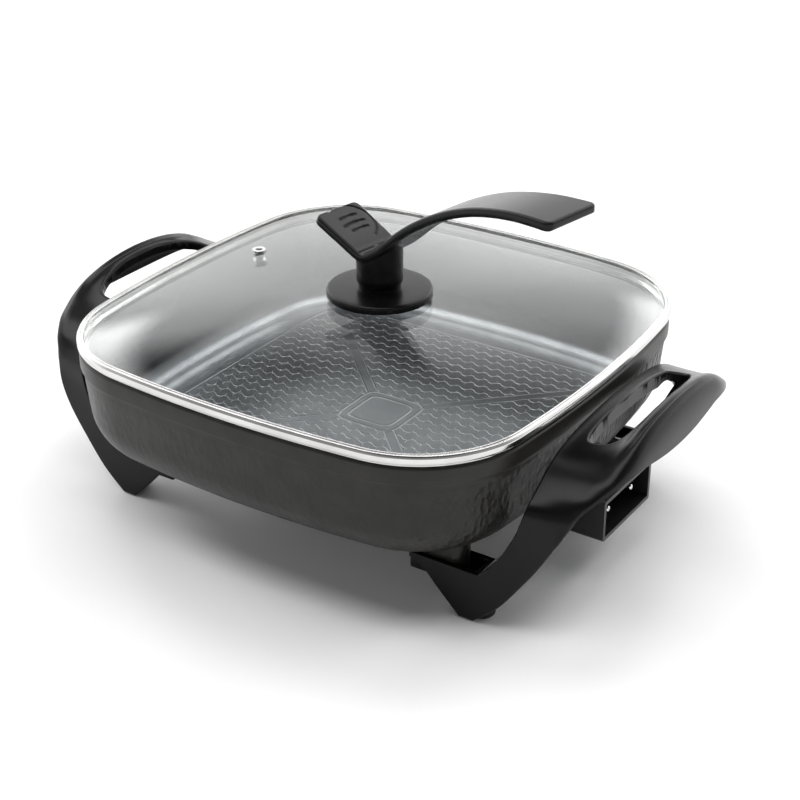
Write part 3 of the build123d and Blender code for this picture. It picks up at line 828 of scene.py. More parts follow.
@dataclass(frozen=True)
class RoundedBox:
    """Rounded rectangle in plan with a centre."""

    centre: tuple[float, float]
    size: tuple[float, float]
    corner: float
    steps: int

    def rings(self, inset: Sequence[float], height: Sequence[float]) -> np.ndarray:
        """Closed rings: each quarter is an arc (cos a, sin a) of the corner radius less the inset.

        Args:
            inset: Distance inwards of each ring.
            height: Height of each ring.

        Returns:
            Points of shape (n, around, 3).
        """
        inset, height = (np.asarray(v, float)[:, None] for v in (inset, height))
        angle = np.linspace(0, np.pi / 2, self.steps)[None]
        radius = np.maximum(self.corner - inset, 0.05)
        half_x, half_y = (value / 2 - inset - radius for value in self.size)
        arc_x, arc_y = radius * np.cos(angle), radius * np.sin(angle)
        x = np.concatenate([half_x + arc_x, -half_x - arc_y, -half_x - arc_x, half_x + arc_y], 1)
        y = np.concatenate([half_y + arc_y, half_y + arc_x, -half_y - arc_y, -half_y - arc_x], 1)
        z = np.broadcast_to(height, x.shape)
        return np.stack([x + self.centre[0], y + self.centre[1], z], -1)


# ---------------------------------------------------------------- pan
@dataclass
class Pan:
    """Cast pan: bulged-square bowl with a thick rim, and the forms cast under it."""

    outline: Outline
    bottom_z: float = 47.0
    floor_z: float = 52.5
    rim_z: float = 115.3
    wall_top_z: float = 103.3
    rim_half: float = 156.8
    wall_half: float = 155.5
    cavity_half: float = 150.9
    draft: float = 5.2
    bottom_radius: float = 31.0
    floor_radius: float = 24.0
    rim_round: float = 1.9
    rim_inner_round: float = 1.0
    rim_step: float = 1.6
    wall_past_rim: float = 1.3
    probe_z: float = 44.0
    hammer_depth: float = 0.30
    slot: str = "pan_coating"

    def _bowl(self, half: float, low: float, top: float, radius: float) -> np.ndarray:
        """Half size and height up a drafted wall with a rounded foot.

        The foot is the arc (c + r sin a, low + r - r cos a) that ends in the wall's slope.

        Args:
            half: Half size of the wall at the top.
            low: Height of the flat under or in the bowl.
            top: Height of the wall's top.
            radius: Radius between the flat and the wall.

        Returns:
            Array of shape (n, 2) from the flat to the wall's top.
        """
        slope = self.draft / (top - low)
        tilt = math.atan(slope)
        centre = half - self.draft + slope * radius - radius / math.cos(tilt)
        angle = np.linspace(0, math.pi / 2 - tilt, 16)
        arc = np.stack([centre + radius * np.sin(angle), low + radius - radius * np.cos(angle)], 1)
        wall_z = np.linspace(arc[-1, 1], top, 26)[1:]
        wall = np.stack([half - slope * (top - wall_z), wall_z], 1)
        return np.concatenate([arc, wall])

    def _rings(self, profile: np.ndarray, base: float) -> np.ndarray:
        """Rings of a profile of (half size, height), offset inwards below a base size."""
        half, height = profile.T
        return self.outline.rings(np.maximum(half, base), np.maximum(base - half, 0), height)

    def shell(self) -> tuple[Patch, int]:
        """Bowl as one closed skin: underside, wall, rim, inner wall and floor.

        Returns:
            The skin, and how many of its rings lie outside the crest of the rim.
        """
        outside = self._bowl(self.wall_half, self.bottom_z, self.wall_top_z, self.bottom_radius)
        inner_top = self.rim_z + self.wall_past_rim
        inside = self._bowl(self.cavity_half, self.floor_z, inner_top, self.floor_radius)
        low = self._hammered(self._rings(outside, self.wall_half - self.draft))
        high = self._rings(inside[:-1], self.cavity_half - self.draft)
        quarter = np.linspace(0, np.pi / 2, 6)
        sine, cosine = np.sin(quarter), np.cos(quarter)
        lip = self.wall_half + (self.rim_half - self.wall_half) * (1 - cosine)
        step = np.stack([lip, self.wall_top_z + self.rim_step * sine], 1)[1:]
        turn = self.rim_half - self.rim_round * (1 - cosine)
        crest = np.stack([turn, self.rim_z - self.rim_round * (1 - sine)], 1)
        inner = self.cavity_half + self.rim_inner_round * (1 - sine)
        fall = np.stack([inner, self.rim_z - self.rim_inner_round * (1 - cosine)], 1)
        rim = self._rings(np.concatenate([step, crest, fall]), 0.0)
        shares = np.array([0.3, 0.65])[:, None, None] * [1.0, 1.0, 0.0]
        under = low[:1] * (shares + [0.0, 0.0, 1.0])
        floor = high[:1] * (shares[::-1] + [0.0, 0.0, 1.0])
        patch = skin(np.concatenate([under, low, rim, high[::-1], floor]))
        return patch, len(under) + len(low) + len(step) + len(crest)

    def _hammered(self, rings: np.ndarray) -> np.ndarray:
        """Wall pressed inwards by seeded noise, most towards the handles and none at the ends.

        The depth is d (0.75 + 0.5 noise) times a ramp over |x| and a ramp over the height.
        """
        points = rings.reshape(-1, 3)
        noise = value_noise(points * [1, 1, 0.6], 5.0, 11) + 0.5 * value_noise(points, 2.6, 12)
        wide, height = np.abs(points[:, 0]), points[:, 2]
        side = 0.15 + 0.85 * smoothstep(wide, PAN_OUTSIDE.side_from, PAN_OUTSIDE.side_full)
        band = smoothstep(height, 47.2, 53.0) * smoothstep(height, self.wall_top_z, 99.0)
        depth = self.hammer_depth * (0.75 + 0.5 * noise) * side * band
        inward = points * [1, 1, 0]
        inward = inward / np.linalg.norm(inward, axis=1, keepdims=True)
        return (points - inward * depth[:, None]).reshape(rings.shape)

    def _bead(self) -> Patch:
        """Bead round the element: a rounded section carried round a rounded square."""
        section = rounded_path([(-8, 48, 0), (-8, 37.5, 3.0), (8, 37.5, 3.0), (8, 48, 0)], 7)
        box = RoundedBox((0, 0), (172, 172), 30.0, 16)
        return skin(box.rings(-section[:, 0], section[:, 1]), ring_loop=True)

    def _boss(self) -> Patch:
        """Socket boss: a rounded block with the probe's hole from its face.

        Rings lie in planes across X and pass from the hole's circle to the block's outline.
        """
        block = RoundedBox((0.0, 43.6), (62.0, 12.2), 2.0, 16)
        outer = block.rings([0.6, 0.15, 0.0, 0.0, 0.0], np.zeros(5))[..., :2]
        direction = outer[0] - [0.0, self.probe_z]
        direction = direction / np.linalg.norm(direction, axis=1, keepdims=True)
        radius = np.array([3.4, 3.4, 3.9])[:, None, None]
        across = np.concatenate([direction * radius + [0.0, self.probe_z], outer])
        along = np.array([110.0, 133.5, 134.0, 134.0, 133.8, 133.3, 120.0, 108.0])
        x = np.broadcast_to(along[:, None], across.shape[:2])
        return skin(np.stack([x, across[..., 0], across[..., 1]], -1))

    def _lug(self, x: float, y: float) -> Patch:
        """Lug that stands in the channel of a leg."""
        box = RoundedBox((x, y), (29.0, 15.0), 7.45, 14)
        return skin(box.rings([1.2, 0.35, 0.0, 0.0], [26.05, 26.3, 27.2, 49.0]))

    def _rib(self) -> Patch:
        """Rib over the element's ends between the bead and the boss."""
        box = RoundedBox((96.0, 0.0), (36.0, 46.0), 5.0, 8)
        return skin(box.rings([2.5, 0.7, 0.0, 0.0], [37.55, 38.2, 40.0, 49.0]))

    def build(self) -> None:
        """Make the pan's pieces, dress them and put them on the skillet."""
        outside, inside = PAN_OUTSIDE.material(), PAN_INSIDE.material()
        shell, outside_rings = self.shell()
        bowl = smooth_object("pan_bowl", shell, 50)
        dress(bowl, outside, inside)
        # faces come ring by ring, then the fan under the bowl, then the fan of its floor
        around = 4 * (self.outline.side_steps + self.outline.corner_steps)
        index = np.zeros(len(bowl.data.polygons), np.int32)
        index[outside_rings * around : len(index) - 2 * around] = 1
        index[len(index) - around :] = 1
        bowl.data.polygons.foreach_set("material_index", index)
        place(bowl, Body.SKILLET, "pan")
        lugs = [self._lug(sx * LUG_PLACE[0], sy * LUG_PLACE[1]) for sx, sy in QUARTERS]
        under = joined([self._bead(), self._boss(), self._rib(), *lugs])
        add_pieces(Body.SKILLET, self.slot, outside, ("pan_cast_forms", under, "pan", 40))


# ---------------------------------------------------------------- lid
@dataclass
class Lid:
    """Domed glass in a rolled steel band."""

    outline: Outline
    glass_half: float = 155.9
    glass_top: float = 135.0
    glass_edge: float = 121.0
    thickness: float = 4.0
    edge_reach: float = 1.2
    hole: float = 4.0
    vent: tuple[float, float] = (-114.0, 26.0)
    vent_hole: float = 3.0

    def height(self, x: np.ndarray, y: np.ndarray) -> np.ndarray:
        """Top of the glass: top - fall sqrt(u^4 + v^4), with u = x / half and v = y / half."""
        u, v = x / self.glass_half, y / self.glass_half
        return self.glass_top - (self.glass_top - self.glass_edge) * np.sqrt(u**4 + v**4)

    def glass(self) -> Patch:
        """Glass plate as a closed skin from the knob's hole out over the edge and back.

        Rings go from the hole's circle to the outline along straight rays. The edge is
        a half ellipse across the plate's thickness.
        """
        edge = self.outline.rings([self.glass_half], [0.0], [0.0])[0, ::2, :2]
        ray = edge / np.linalg.norm(edge, axis=1, keepdims=True)
        share = np.linspace(0, 1, 46)[:, None, None] ** 0.8
        inner, outer = ray * self.hole, edge - ray * self.edge_reach
        plan = inner + (outer - inner) * share
        top = self.height(plan[..., 0], plan[..., 1])[..., None]
        angle = np.linspace(0, np.pi, 9)[1:-1, None, None]
        middle = self.height(outer[..., 0], outer[..., 1])[None, :, None] - self.thickness / 2
        round_plan = outer + ray * self.edge_reach * np.sin(angle)
        rim = np.concatenate([round_plan, middle + self.thickness / 2 * np.cos(angle)], -1)
        up = np.concatenate([plan, top], -1)
        down = np.concatenate([plan, top - self.thickness], -1)[::-1]
        return skin(np.concatenate([up, rim, down]), ring_loop=True)

    def _pierced(self, piece: bpy.types.Object) -> None:
        """Cut the vent's hole through the glass and keep the result as its mesh."""
        turn = np.linspace(0, 2 * np.pi, 49)[:-1]
        x, y = (self.vent[i] + self.vent_hole * f(turn) for i, f in enumerate((np.cos, np.sin)))
        rings = np.stack([np.stack([x, y, np.full_like(x, z)], -1) for z in (112.0, 140.0)])
        tool = smooth_object("vent_cutter", skin(rings), 40)
        cut = piece.modifiers.new("vent_hole", "BOOLEAN")
        cut.operation, cut.solver, cut.object = "DIFFERENCE", "EXACT", tool
        graph = bpy.context.evaluated_depsgraph_get()
        mesh = bpy.data.meshes.new_from_object(piece.evaluated_get(graph))
        piece.modifiers.remove(cut)
        piece.data = mesh
        bpy.data.objects.remove(tool)

    def band(self) -> Patch:
        """Steel band: a rolled section with a broad outer bead, a groove and a thin inner lip."""
        section = rounded_path(
            [
                (155.6, 115.6, 0.3), (155.7, 117.2, 0.3), (157.1, 117.3, 0.5),
                (157.6, 118.4, 0.8), (157.55, 121.1, 1.8), (156.4, 123.0, 1.2),
                (155.2, 122.7, 0.4), (154.95, 122.0, 0.2), (154.45, 122.0, 0.2),
                (154.2, 122.85, 0.3), (153.3, 122.8, 0.35), (153.25, 122.1, 0.2),
                (154.6, 121.0, 0.2), (154.6, 116.6, 0.3), (151.1, 116.6, 0.25),
                (151.1, 115.6, 0.25),
            ],
            5,
        )
        half = np.full(len(section), self.outline.lid_half)
        return skin(self.outline.rings(half, half - section[:, 0], section[:, 1]), ring_loop=True)

    def build(self) -> None:
        """Make the glass and the band and put them on the lid."""
        glass = smooth_object("glass_dome", self.glass(), 50)
        self._pierced(glass)
        dress(glass, GLASS.material())
        place(glass, Body.LID, "lid_glass")
        band = ("steel_band", self.band(), "lid_band", 50)
        add_pieces(Body.LID, "band_steel", STEEL.material(), band)


# ---------------------------------------------------------------- knob
@dataclass
class Knob:
    """Base plate, column and the bent lever that also stands the lid up."""

    base_top: float = 140.0
    thickness: float = 5.5
    turn: float = -10.0
    corner: float = 5.0
    edge: float = 1.9
    low_edge: float = 1.3
    groove: float = 0.85
    # middle line (s, z over the base plate) from the pad's tip to the lever's end
    line: tuple[tuple[float, float], ...] = (
        (-38.5, 39.0), (-22.5, 31.8), (-8.0, 25.3), (-0.5, 23.0), (6.0, 25.6), (12.8, 30.4),
        (28.6, 44.0), (44.6, 55.8), (60.2, 64.8), (75.6, 71.9), (90.6, 77.0), (105.5, 80.4),
        (119.9, 82.5), (146.0, 83.6),
    )
    # half width over s
    plan: tuple[tuple[float, float], ...] = (
        (-40.5, 18.15), (0.0, 17.2), (30.0, 16.8), (90.0, 18.6), (147.0, 21.85),
    )
    pad_length: float = 33.0
    pad_step: float = 0.45
    ring_radius: float = 15.9
    ring_centre: float = 15.4
    # degrees at which the half ring starts and ends, and its fade beyond them
    ring_arc: Triple = (28.0, 206.0, 8.0)
    stroke_bow: float = 0.012
    # distance from the tip and the two ends across, of each stroke
    strokes: tuple[Triple, ...] = ((9.5, -5.9, 8.0), (15.5, -7.7, 9.6), (21.2, -5.4, 8.1))

    def _middle(self) -> tuple[np.ndarray, np.ndarray, np.ndarray]:
        """Stations along the lever's middle line.

        Returns:
            Lengths from the tip, points (s, z) and the unit normals to the upper side.
        """
        points = np.array(self.line) + [0.0, self.base_top]
        chord = lengths(points)
        dense = np.linspace(0, chord[-1], 4000)
        curve = natural_spline(chord, points, dense)
        length = lengths(curve)
        total = length[-1]
        ends = self.corner * (1 - np.cos(np.linspace(0, np.pi / 2, 15)))
        pad = np.arange(ends[-1], self.pad_length, self.pad_step)
        rest = np.linspace(self.pad_length, total - ends[-1], 80)
        at = np.concatenate([ends[:-1], pad, rest[:-1], total - ends[::-1]])
        point = np.stack([np.interp(at, length, curve[:, i]) for i in range(2)], 1)
        tangent = np.stack([np.gradient(curve[:, i], length) for i in range(2)], 1)
        tangent = np.stack([np.interp(at, length, tangent[:, i]) for i in range(2)], 1)
        tangent = tangent / np.linalg.norm(tangent, axis=1, keepdims=True)
        return at, point, np.stack([-tangent[:, 1], tangent[:, 0]], 1)

    def _marks(self, along: np.ndarray, across: np.ndarray) -> np.ndarray:
        """Depth of the thumb pad's marks: half a ring and three strokes, each a round groove.

        Args:
            along: Distance from the pad's tip.
            across: Distance from the middle, towards +Y.

        Returns:
            Depth under the pad's face.
        """
        from_ring = np.hypot(along - self.ring_centre, across) - self.ring_radius
        angle = np.degrees(np.arctan2(across, along - self.ring_centre)) % 360
        first, last, fade = self.ring_arc
        open_ring = smoothstep(angle, first - fade, first) * smoothstep(angle, last + fade, last)
        depth = smoothstep(np.abs(from_ring), 0.85, 0.25) * open_ring
        for place_at, low, high in self.strokes:
            beyond = np.maximum(np.maximum(low - across, across - high), 0)
            bowed = along - place_at - self.stroke_bow * (across - 1.0) ** 2
            depth = np.maximum(depth, smoothstep(np.hypot(bowed, beyond), 0.95, 0.3))
        return depth

    def strip(self) -> Patch:
        """Lever as one closed strip: a rounded section carried along the middle line.

        A section runs over the top, round the edge at +Y, back under the strip and round
        the edge at -Y. Its depth counts from the top where it is 0 or more, and from the
        underside where it is less.
        """
        at, point, normal = self._middle()
        from_end = np.minimum(at, at[-1] - at)
        plan = np.array(self.plan)
        half = natural_spline(plan[:, 0], plan[:, 1:], point[:, 0])[:, 0]
        half = (half - edge_drop(from_end, self.corner))[:, None]
        thin = (self.thickness / 2 - edge_drop(from_end, self.edge))[:, None]
        face = np.linspace(-1, 1, 81)
        corner = np.linspace(0, np.pi / 2, 7)[1:-1]
        high, low = self.edge, self.low_edge
        top_out, top_down = high * np.sin(corner), high * (1 - np.cos(corner))
        low_in, low_up = low * (1 - np.cos(corner)), -low * (1 - np.sin(corner))
        parts = (
            ((half - high) * face, np.zeros(81)),
            ((half - high) + top_out, top_down),
            (half - low_in, low_up),
            ((half - low) * -face[::8], np.full(11, -1e-9)),
            (-half + low_in[::-1], low_up[::-1]),
            (-(half - high) - top_out[::-1], top_down[::-1]),
        )
        across = np.concatenate([part for part, _ in parts], 1)
        depth = np.concatenate([np.broadcast_to(drop, part.shape) for part, drop in parts], 1)
        up = np.where(depth >= 0, thin, -thin) - depth * (thin / (self.thickness / 2))
        marks = self._marks(at[:, None] * np.ones_like(across), across)
        up = up - np.where(depth == 0, marks * self.groove, 0)
        s = point[:, :1] + normal[:, :1] * up
        z = point[:, 1:] + normal[:, 1:] * up
        return skin(np.stack([s, across, z], -1)).turned(self.turn)

    def column(self) -> Patch:
        """Column with a narrow neck; its top follows the lever's middle line."""
        profile = np.array(
            [(13.2, 0.0), (13.2, 1.4), (13.2, 2.3), (13.4, 2.9), (13.9, 3.5), (14.3, 4.1),
             (14.5, 4.9), (14.5, 8.0), (14.5, 12.0)]
        )
        rings = turned_rings(profile + [0.0, self.base_top], 96)
        _, middle, _ = self._middle()
        top = rings[-1:].copy()
        top[..., 2] = np.interp(top[..., 0], middle[:, 0], middle[:, 1]) - 1.0
        return skin(np.concatenate([rings, top])).turned(self.turn)

    def base(self) -> Patch:
        """Round base plate: hollow underneath, slightly coned on top, rounded at the rim."""
        arc = np.linspace(0, np.pi / 2, 8)
        rim = np.stack([31.4 + 1.6 * np.cos(arc), 137.9 + 1.6 * np.sin(arc)], 1)
        under = [(0.05, 136.5), (27.8, 136.5), (28.0, 136.3), (28.0, 134.9), (28.2, 134.8),
                 (32.7, 134.8), (33.0, 135.1)]
        cone = [(28.0, 139.65), (22.0, 139.8), (15.5, 139.95), (14.6, 140.0), (0.05, 140.0)]
        return lathe(np.concatenate([under, rim, cone]), 160)

    def build(self) -> None:
        """Make the knob's pieces and put them on the lid."""
        add_pieces(
            Body.LID, "knob_black", BAKELITE.material(),
            ("knob_lever", self.strip(), "knob_handle", 50),
            ("knob_column", self.column(), "knob_handle", 50),
            ("knob_base_plate", self.base(), "knob_base", 40),
        )


# ---------------------------------------------------------------- side frames
@dataclass
class SideFrame:
    """Handle, two legs and two channel arms in one moulding.

    The skin is a ribbon between an inner and an outer edge that runs from the channel of
    the front leg over the handle's crown to the rear leg. The finger slot parts it into
    an inner strip and an outer bar. All skirts hang from it.
    """

    slot_half: float = 51.2
    slot_in: float = 170.0
    slot_out: float = 194.2
    slot_in_power: float = 5.0
    slot_out_power: float = 2.8
    slot_round: float = 2.0
    edge_round: float = 1.1
    wall: float = 3.0
    parting: float = 0.4
    ledge: float = 0.9
    bar_plate: float = 6.0
    strip_plate: float = 9.0
    plates_full: float = 42.0
    plain_skirt: float = 1.5
    skin_steps: int = 30
    # stations: the foot's tip, the end of the even steps, and how far the normal stays level
    foot_tip: int = 7
    leg_end: int = 22
    level_to: float = 13.6
    # close rows past the end of the finger slot
    slot_rows: tuple[float, ...] = (2.6, 2.0, 1.5, 1.0, 0.65, 0.4, 0.2, 0.08, 0.0)
    # inner edge x, y, z, outer edge x, y, z, inner and outer skirt, plate, rise of the crest
    stations: tuple[tuple[float, ...], ...] = (
        (88.5, 102.6, 33.0, 88.5, 102.6, 29.5, 3.0, 3.0, 3.0, 0.0),
        (92.0, 102.6, 33.0, 92.0, 102.6, 27.6, 3.0, 3.0, 3.0, 0.0),
        (97.0, 102.6, 33.0, 97.5, 102.6, 24.8, 3.0, 3.0, 3.0, 0.0),
        (108.0, 102.6, 33.0, 108.0, 102.6, 14.2, 3.0, 3.0, 3.0, 0.0),
        (118.0, 102.6, 33.0, 117.0, 102.6, 5.3, 3.0, 3.0, 3.0, 0.0),
        (127.0, 102.6, 33.0, 122.0, 102.6, 0.4, 3.0, 3.0, 3.0, 0.0),
        (132.0, 102.6, 33.0, 127.0, 102.6, 0.4, 3.0, 3.0, 3.0, 0.0),
        (134.0, 102.6, 33.2, 131.3, 102.6, 0.4, 12.0, 3.0, 3.0, 0.0),
        (134.6, 102.6, 33.6, 145.5, 102.6, 13.0, 21.0, 14.0, 3.0, 0.0),
        (136.0, 102.6, 35.0, 155.5, 102.5, 25.6, 21.0, 16.0, 3.0, 0.0),
        (138.0, 102.6, 36.5, 161.0, 102.4, 33.6, 21.0, 13.0, 3.0, 0.0),
        (142.1, 102.6, 41.1, 166.8, 102.2, 42.0, 21.0, 11.0, 3.0, 0.0),
        (148.0, 102.6, 49.8, 172.8, 101.9, 51.6, 21.0, 10.0, 3.0, 0.0),
        (153.6, 102.5, 60.5, 178.3, 100.8, 61.3, 21.0, 9.0, 3.0, 0.0),
        (157.6, 102.0, 70.0, 182.9, 98.3, 69.7, 18.0, 7.0, 3.2, 0.1),
        (160.0, 100.8, 79.0, 185.6, 95.8, 75.6, 13.0, 5.0, 4.0, 0.4),
        (160.8, 98.0, 84.0, 187.4, 94.0, 80.2, 11.0, 4.0, 4.6, 0.7),
        (161.0, 94.3, 87.0, 189.2, 91.8, 83.6, 10.0, 3.0, 5.0, 1.0),
        (161.0, 88.0, 91.2, 193.1, 87.8, 88.2, 9.0, 2.5, 5.4, 1.6),
        (161.0, 82.0, 95.2, 197.1, 82.1, 92.1, 9.0, 2.5, 5.5, 2.4),
        (161.0, 76.0, 98.7, 200.6, 76.0, 95.4, 9.0, 2.5, 5.5, 3.4),
        (161.0, 70.0, 101.5, 202.8, 70.0, 97.3, 9.0, 2.5, 5.5, 4.9),
        (161.0, 60.0, 104.8, 205.3, 60.0, 99.5, 9.0, 2.5, 5.5, 8.4),
        (161.0, 50.5, 106.8, 206.4, 50.5, 100.3, 9.0, 2.5, 5.5, 12.0),
        (161.0, 40.0, 108.2, 206.9, 40.0, 100.5, 9.0, 3.8, 5.5, 15.0),
        (161.0, 30.5, 109.1, 207.2, 30.5, 100.5, 9.0, 5.0, 5.5, 17.0),
        (161.0, 15.0, 110.0, 207.5, 15.0, 100.4, 9.0, 6.4, 5.5, 18.9),
        (161.0, 0.0, 110.3, 207.55, 0.0, 100.4, 9.0, 6.9, 5.5, 19.5),
        (161.0, -15.0, 110.0, 207.5, -15.0, 100.4, 9.0, 6.4, 5.5, 18.9),
    )
    # share of the rise over the share of the width, up to the crest of the bar
    rise: tuple[tuple[float, float], ...] = (
        (0.0, 0.0), (0.2, 0.13), (0.45, 0.38), (0.62, 0.60), (0.72, 0.77), (0.79, 0.93),
        (0.85, 1.0),
    )
    curl_power: float = 2.1

    def _lift(self, share: np.ndarray) -> np.ndarray:
        """Share of the rise over the share s of the width.

        Up to the crest it is a smooth curve. Beyond it is the superellipse
        (1 - t^p)^(1/p), with t the share of the way from the crest to the outer edge.
        """
        table = np.array(self.rise)
        crest = table[-1, 0]
        inside = monotone(table[:, 0], table[:, 1:], np.clip(share, 0, crest).ravel())
        t = np.clip((share - crest) / (1 - crest), 0, 1)
        curl = (1 - t**self.curl_power) ** (1 / self.curl_power)
        return np.where(share > crest, curl, inside.reshape(share.shape))

    def _rows(self) -> tuple[np.ndarray, np.ndarray]:
        """Rows of the ribbon from the channel's end to the middle of the handle.

        Returns:
            Station values of shape (rows, 10) and the tilt of the outward normal from
            level, in radians.
        """
        table = np.array(self.stations)
        last, tip = len(table) - 1, self.foot_tip
        knots = np.arange(last + 1, dtype=float)
        length = lengths(table[tip:, 3:6])

        def values(at: np.ndarray) -> np.ndarray:
            """Station values: straight parts up to the foot's tip, one spline from there on."""
            result = np.empty((len(at), table.shape[1]))
            for low, high in ((0, 5), (5, tip)):
                chosen = (at >= low) & (at <= high)
                part = slice(low, high + 1)
                result[chosen] = monotone(knots[part], table[part], at[chosen])
            chosen = at > tip
            along = np.interp(at[chosen], knots[tip:], length)
            smooth = natural_spline(length, table[tip:], along)
            kept = monotone(length, table[tip:], along)
            result[chosen] = np.where(np.arange(table.shape[1]) < 6, smooth, kept)
            return result

        span = np.linalg.norm(np.diff(table[: self.leg_end + 1], axis=0)[:, 3:6], axis=1)
        counts = np.maximum(np.ceil(span / 1.5).astype(int), 3)
        leg = np.concatenate([k + np.arange(n) / n for k, n in enumerate(counts)])
        # the rows of the crown stand at chosen places in y, found on a dense run of stations
        dense = np.linspace(14, 27, 6001)
        dense_y = values(dense)[:, 1]
        share = (np.arange(1, 49) / 48.0) ** 3
        near = np.array(self.slot_rows) + self.slot_half
        by_y = np.concatenate([np.linspace(60, 55.5, 4), near, self.slot_half * (1 - share)])
        crown = np.interp(by_y, dense_y[::-1], dense[::-1])
        at = np.concatenate([leg, crown])
        rows = values(at)
        rows[len(leg) :, 1] = rows[len(leg) :, 4] = by_y
        # tilt of the normal from the run of the inner edge a little before and after each row
        step = 0.35
        ahead, behind = values(np.minimum(at + step, last)), values(np.maximum(at - step, 0))
        rise = np.maximum(ahead[:, 2] - behind[:, 2], 1e-9)
        turn = np.arctan2(behind[:, 1] - ahead[:, 1], rise)
        turn = np.where(at < self.level_to, 0.0, turn)
        turn[-1] = np.pi / 2
        return rows, turn

    def _slot_edges(self, y: np.ndarray, middle: np.ndarray) -> tuple[np.ndarray, np.ndarray]:
        """Inner and outer edge of the finger slot over y.

        Each is middle + (edge - middle) (1 - |y / half|^p)^(1/p), and the middle itself
        beyond the slot's ends.
        """
        share = np.clip(1 - (y / self.slot_half), 0, 1)
        inside = 1 - (1 - share) ** self.slot_in_power
        outside = 1 - (1 - share) ** self.slot_out_power
        low = middle + (self.slot_in - middle) * inside ** (1 / self.slot_in_power)
        high = middle + (self.slot_out - middle) * outside ** (1 / self.slot_out_power)
        return low, high

    def _rail(
        self, rows: np.ndarray, turn: np.ndarray, parting: np.ndarray, outer: bool,
        border: np.ndarray,
    ) -> np.ndarray:
        """Closed sections of the inner or the outer half of the ribbon.

        A section runs over the skin from the frame's edge to the parting, down the
        parting's skirt, back under the plate and down and up the edge's skirt.

        Args:
            rows: Station values.
            turn: Tilt of the outward normal.
            parting: Share of the width at which the half ends, one per row.
            outer: True for the half along the outer edge.
            border: Points (x, y) along the finger slot's edge.

        Returns:
            Points (x, |y|, z) of shape (rows, section, 3).
        """
        inner_edge, outer_edge = rows[:, None, :3], rows[:, None, 3:6]
        skirt_in, skirt_out, plate, rise = rows.T[6:, :, None]
        width = np.linalg.norm(outer_edge - inner_edge, axis=-1)
        share = parting[:, None]
        edge = 1.0 if outer else 0.0
        reach = np.abs(share - edge) * width
        # a narrow half is left solid in its middle instead of being hollowed
        wall = np.minimum(self.wall, 0.42 * reach)
        away = -1.0 if outer else 1.0
        even = 0.5 - 0.5 * np.cos(np.pi * np.linspace(0, 1, self.skin_steps))[None]
        inner_part = np.linspace(0, 1, 14)[None]
        skin_a = reach * even
        under_a = reach - wall - (reach - 2 * wall) * inner_part
        normal = np.stack([0 * turn, np.cos(turn), np.sin(turn)], -1)[:, None]
        up = np.array([0.0, 0.0, 1.0])

        def surface(a: np.ndarray, drop: np.ndarray) -> np.ndarray:
            """Points at a distance a from the frame's edge, sunk by a drop along the normal."""
            s = (edge + away * a / width)[..., None]
            flat = inner_edge + (outer_edge - inner_edge) * s
            return flat + up * rise[..., None] * self._lift(s) - normal * (drop + 0 * a)[..., None]

        def drop(a: np.ndarray) -> np.ndarray:
            """Rounding at the frame's edge and round the finger slot."""
            radius = np.minimum(self.edge_round, 0.3 * reach)
            flat = surface(a, 0 * a)[..., None, :2]
            near = np.linalg.norm(flat - border, axis=-1).min(-1)
            return edge_drop(a, radius) + edge_drop(near, self.slot_round)

        skirt = skirt_out if outer else skirt_in
        deep = (self.bar_plate if outer else self.strip_plate) - plate
        beside = smoothstep(rows[:, 1:2], self.slot_half - 0.5, self.plates_full)
        along = away * (outer_edge - inner_edge) / width[..., None]
        ledge = along * self.ledge * outer
        thin = np.minimum(wall, 0.8 + 0.4 * skirt) if outer else wall
        top = surface(skin_a, drop(skin_a))
        side = surface(reach, plate + deep * beside)
        side_in = side - along * wall[..., None]
        under = surface(under_a, plate + drop(under_a) * 0.5)
        foot, step, brow = (surface(0 * reach, share * skirt) for share in (1.0, 0.4, 0.3))
        foot_in = foot + along * thin[..., None]
        return np.concatenate(
            [top, side, side_in, under, foot_in, foot + ledge, step + ledge, brow], 1
        )

    def skin(self, lip: bool) -> Patch:
        """Both halves of the ribbon over the whole frame, joined along the parting.

        Args:
            lip: True for the deep lip under the bar's outer edge.

        Returns:
            The frame on the +X side.
        """
        rows, turn = self._rows()
        if not lip:
            spare = np.maximum(rows[:, 7] - self.plain_skirt, 0)
            rows[:, 7] -= spare * smoothstep(rows[:, 1], 72.0, 56.0)
        y = rows[:, 1]
        width = rows[:, 3] - rows[:, 0]
        middle = rows[:, 0] + self.parting * width
        in_handle = y < 60.5
        low, high = self._slot_edges(np.abs(y), middle)
        safe = np.where(width > 1, width, 1)
        share_in = np.where(in_handle, (low - rows[:, 0]) / safe, self.parting)
        share_out = np.where(in_handle, (high - rows[:, 0]) / safe, self.parting)
        open_rows = in_handle & (y < self.slot_half - 1e-9)
        edge_y = self.slot_half * (1 - np.linspace(0, 1, 150) ** 3)
        edge_middle = np.interp(edge_y, y[::-1], middle[::-1])
        edges = self._slot_edges(edge_y, edge_middle)
        border = np.concatenate([np.stack([edge, edge_y], 1) for edge in edges])
        rails = []
        for outer, share in ((False, share_in), (True, share_out)):
            half = self._rail(rows, turn, share, outer, border)
            rails.append(np.concatenate([half * [1, -1, 1], half[-2::-1]]))
        opened = np.concatenate([open_rows, open_rows[-2::-1]])
        count, section = rails[0].shape[:2]
        first = np.arange(count * section).reshape(count, section)
        second = first + count * section
        seam = self.skin_steps - 1
        second[~opened, seam : seam + 2] = first[~opened, seam : seam + 2]
        quads, caps = [], []
        for index, way in ((first, 1), (second, -1)):
            ahead = np.roll(index, -1, axis=1)
            faces = np.stack([index[:-1], ahead[:-1], ahead[1:], index[1:]], -1)
            keep = np.ones(faces.shape[:2], bool)
            keep[:, seam] = opened[:-1] | opened[1:]
            quads.append(faces[keep][:, ::way])
